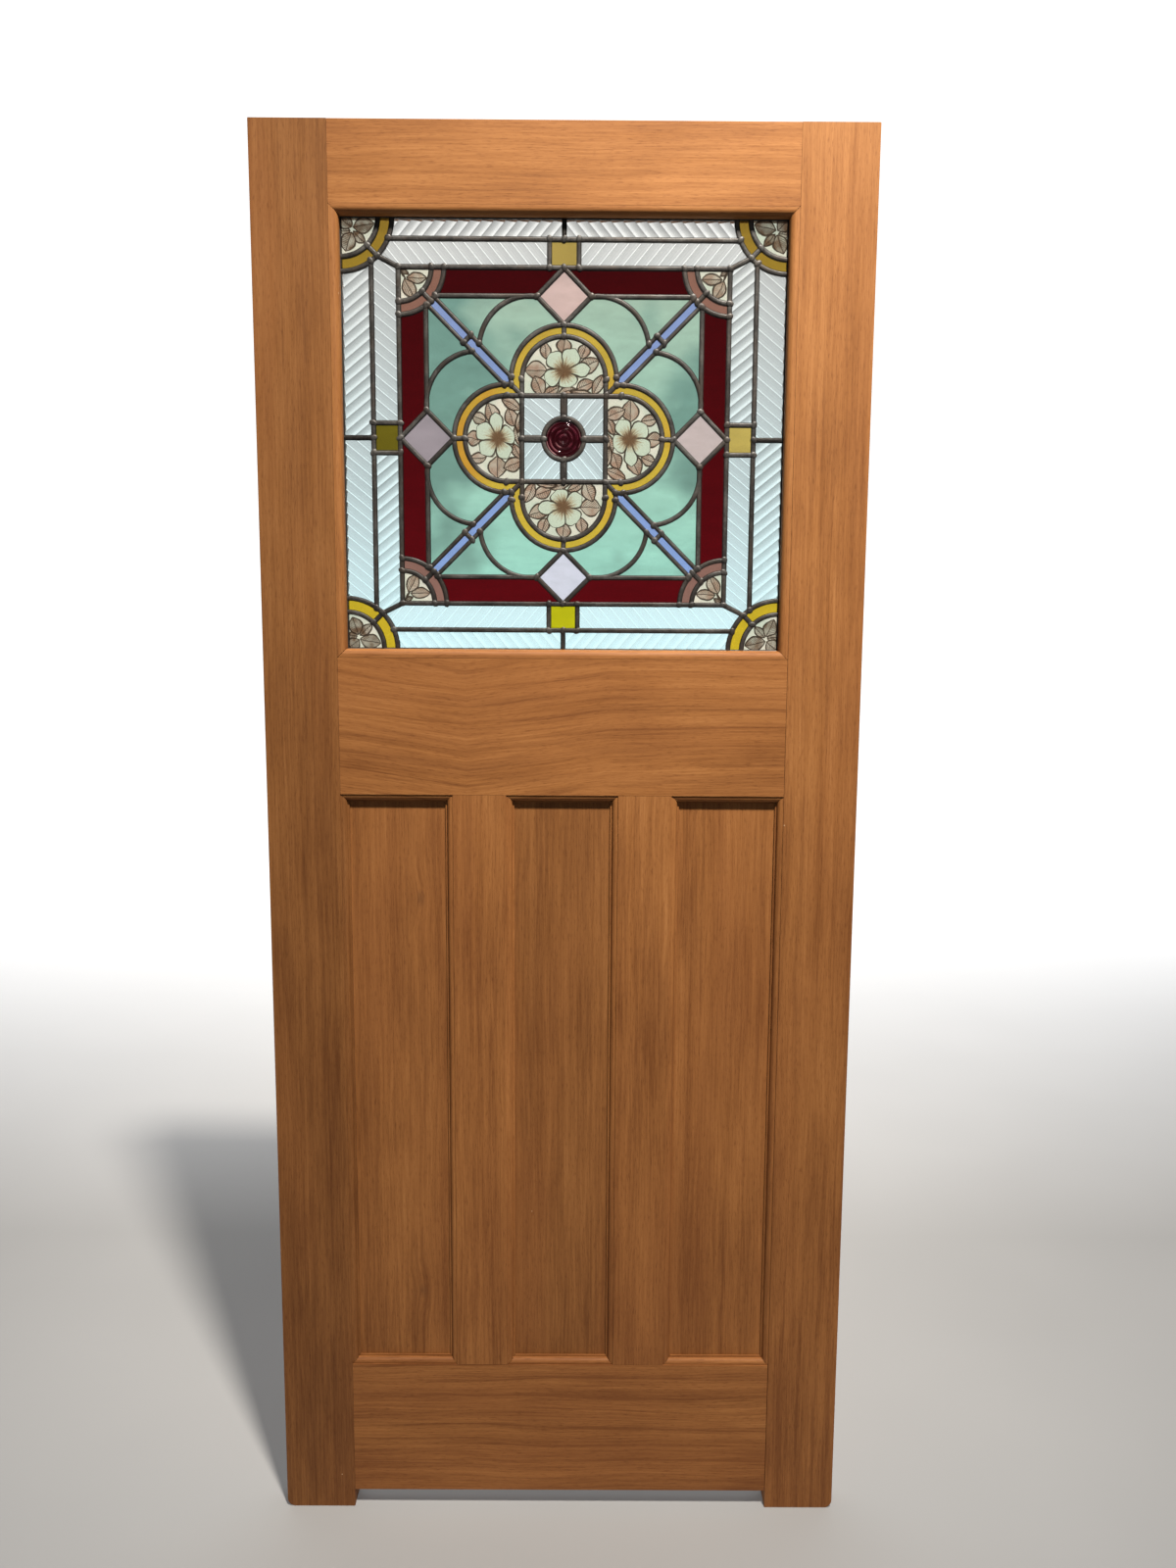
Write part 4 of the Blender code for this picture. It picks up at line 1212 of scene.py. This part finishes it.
# Rondel. A small round of dark ruby glass in the middle of the light, pressed in one piece with four raised
# rings.
rondel_edge = 0.0268
rondel_base = 0.0010
rondel_rings = ((0.0062, 0.0021), (0.0125, 0.0017), (0.0192, 0.0020), (0.0243, 0.0015))
ring_half = 0.0024
profile_step = 0.0004
painted_gleam_inset = 0.0007
profile = []
for count in range(68):
    out = count * profile_step
    rise = rondel_base + sum(
        height * (0.5 + 0.5 * math.cos(math.pi * (out - middle) / ring_half))
        for middle, height in rondel_rings if abs(out - middle) < ring_half
    )
    profile.append((out, -rise, 0))
profile += [(rondel_edge, glass_thickness / 2, 0), (0, glass_thickness / 2, 0)]
bm = bmesh.new()
chain = [bm.verts.new(point) for point in profile]
edges = [bm.edges.new(pair) for pair in zip(chain, chain[1:])]
bmesh.ops.spin(
    bm, geom=chain + edges, cent=(0, 0, 0), axis=(0, 1, 0), angle=math.tau, steps=64, use_merge=True
)
bmesh.ops.remove_doubles(bm, verts=bm.verts, dist=1e-6)
rondel_ruby, shader, place = new_finish("rondel_glass")
centred = vector("MULTIPLY", vector("SUBTRACT", place, light_centre), (1, 0, 1))
reach = vector("LENGTH", centred)
# Painted highlights: pale broken arcs just inside the crest of each ring.
rings = [abs(reach - (middle - painted_gleam_inset)) for middle, _ in rondel_rings]
nearest = rings[0]
for ring in rings[1:]:
    nearest = nearest.apply("MINIMUM", ring)
broken = noise(place, 60, 1).spread(0.50, 0.56, 0.03, 1)
painted_gleam = nearest.spread(0.0002, 0.0007, 1, 0) * broken
glassy(shader, 0.9, 0.05)
shader.inputs["Specular IOR Level"].default_value = 0.5
fill(shader, {"Base Color": tinted("MIX", painted_gleam, (0.022, 0.0004, 0.0018), (0.74, 0.44, 0.42))})
pane("rondel", bm, Matrix.Identity(4), rondel_ruby, "rondel", 60)

# Beads. Four loose strips of the same timber, rounded towards the glass and mitred at the corners, hold
# the light from outside.
bead_rounding = 0.0092
bead_outline = [(seam, 0), (0.0125, 0), (0.0125, 0.014), (seam, 0.014)]
light_height = light_top - light_bottom
for name, corner, along, inward, length, offset in (
    ("left_bead", (stile_width, light_bottom), up, right, light_height, (8.1, 1.5, 0.4)),
    ("right_bead", (width - stile_width, light_bottom), up, -right, light_height, (1.2, 8.8, 3.9)),
    ("top_bead", (stile_width, light_top), right, -up, opening, (9.4, 0.2, 6.6)),
    ("bottom_bead", (stile_width, light_bottom), right, up, opening, (3.6, 9.9, 1.8)),
):
    strip = moulding(bead_outline, bead_rounding, "front", corner, along, inward, length)
    finish = timber_finish(name, along is up, offset, 0.006)
    stands_for(flat_faced(smoothed(placed(name + "_strip", strip), finish)), name)

# Studio. A pale floor that sweeps up into a pale backdrop behind the leaf, which glows softly so that the
# glass is lit from behind, and one soft lamp high on the right in front.
sweep_left, sweep_width, sweep_height = -16, 33, 8
floor_front, floor_back, sweep_radius = -9, 3.6, 1.2
sweep = bmesh.new()
first = sweep.verts.new((sweep_left, floor_front, foot))
second = sweep.verts.new((sweep_left, floor_back, foot))
sweep.edges.new((first, second))
curved = bmesh.ops.spin(
    sweep, geom=[second], cent=(sweep_left, floor_back, foot + sweep_radius), axis=(1, 0, 0),
    angle=math.pi / 2, steps=12, use_merge=False,
)
last = points_of(curved, "geom_last")[0]
head = sweep.verts.new((sweep_left, last.co.y, foot + sweep_height))
sweep.edges.new((last, head))
drawn = bmesh.ops.extrude_edge_only(sweep, edges=sweep.edges[:])
bmesh.ops.translate(sweep, verts=points_of(drawn), vec=(sweep_width, 0, 0))
bmesh.ops.recalc_face_normals(sweep, faces=sweep.faces)
backdrop = placed("backdrop", sweep)
paper, shader, place = new_finish("backdrop_paper")
_, distance, _ = axes(place)
shader.inputs["Roughness"].default_value = 0.9
shader.inputs["Emission Color"].default_value = (1, 1, 1, 1)
fill(shader, {
    "Base Color": grey(noise(place, 1.5, 2).spread(0.3, 0.7, 0.34, 0.37)),
    "Emission Strength": distance.spread(0.8, 4.2, 0.05, 1.12),
})
smoothed(backdrop, paper, 60)
backdrop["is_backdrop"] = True

world = bpy.data.worlds.new("studio")
bpy.context.scene.world = world
world.use_nodes = True
sky = world.node_tree.nodes["Background"]
sky.inputs["Color"].default_value = (0.80, 0.81, 0.82, 1)
sky.inputs["Strength"].default_value = 0.10

lamp_data = bpy.data.lights.new("key_lamp", "AREA")
lamp_data.shape = "DISK"
lamp_data.size = 0.45
lamp_data.energy = 42
lamp_data.spread = math.radians(46)
lamp_data.color = (1.0, 0.93, 0.84)
lamp = bpy.data.objects.new("key_lamp", lamp_data)
lamp.location = (1.4, -2.5, 4.7)
lamp.rotation_euler = (Vector((0.68, 0, 0.9)) - lamp.location).to_track_quat("-Z", "Y").to_euler()
bpy.context.scene.collection.objects.link(lamp)

low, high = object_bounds()
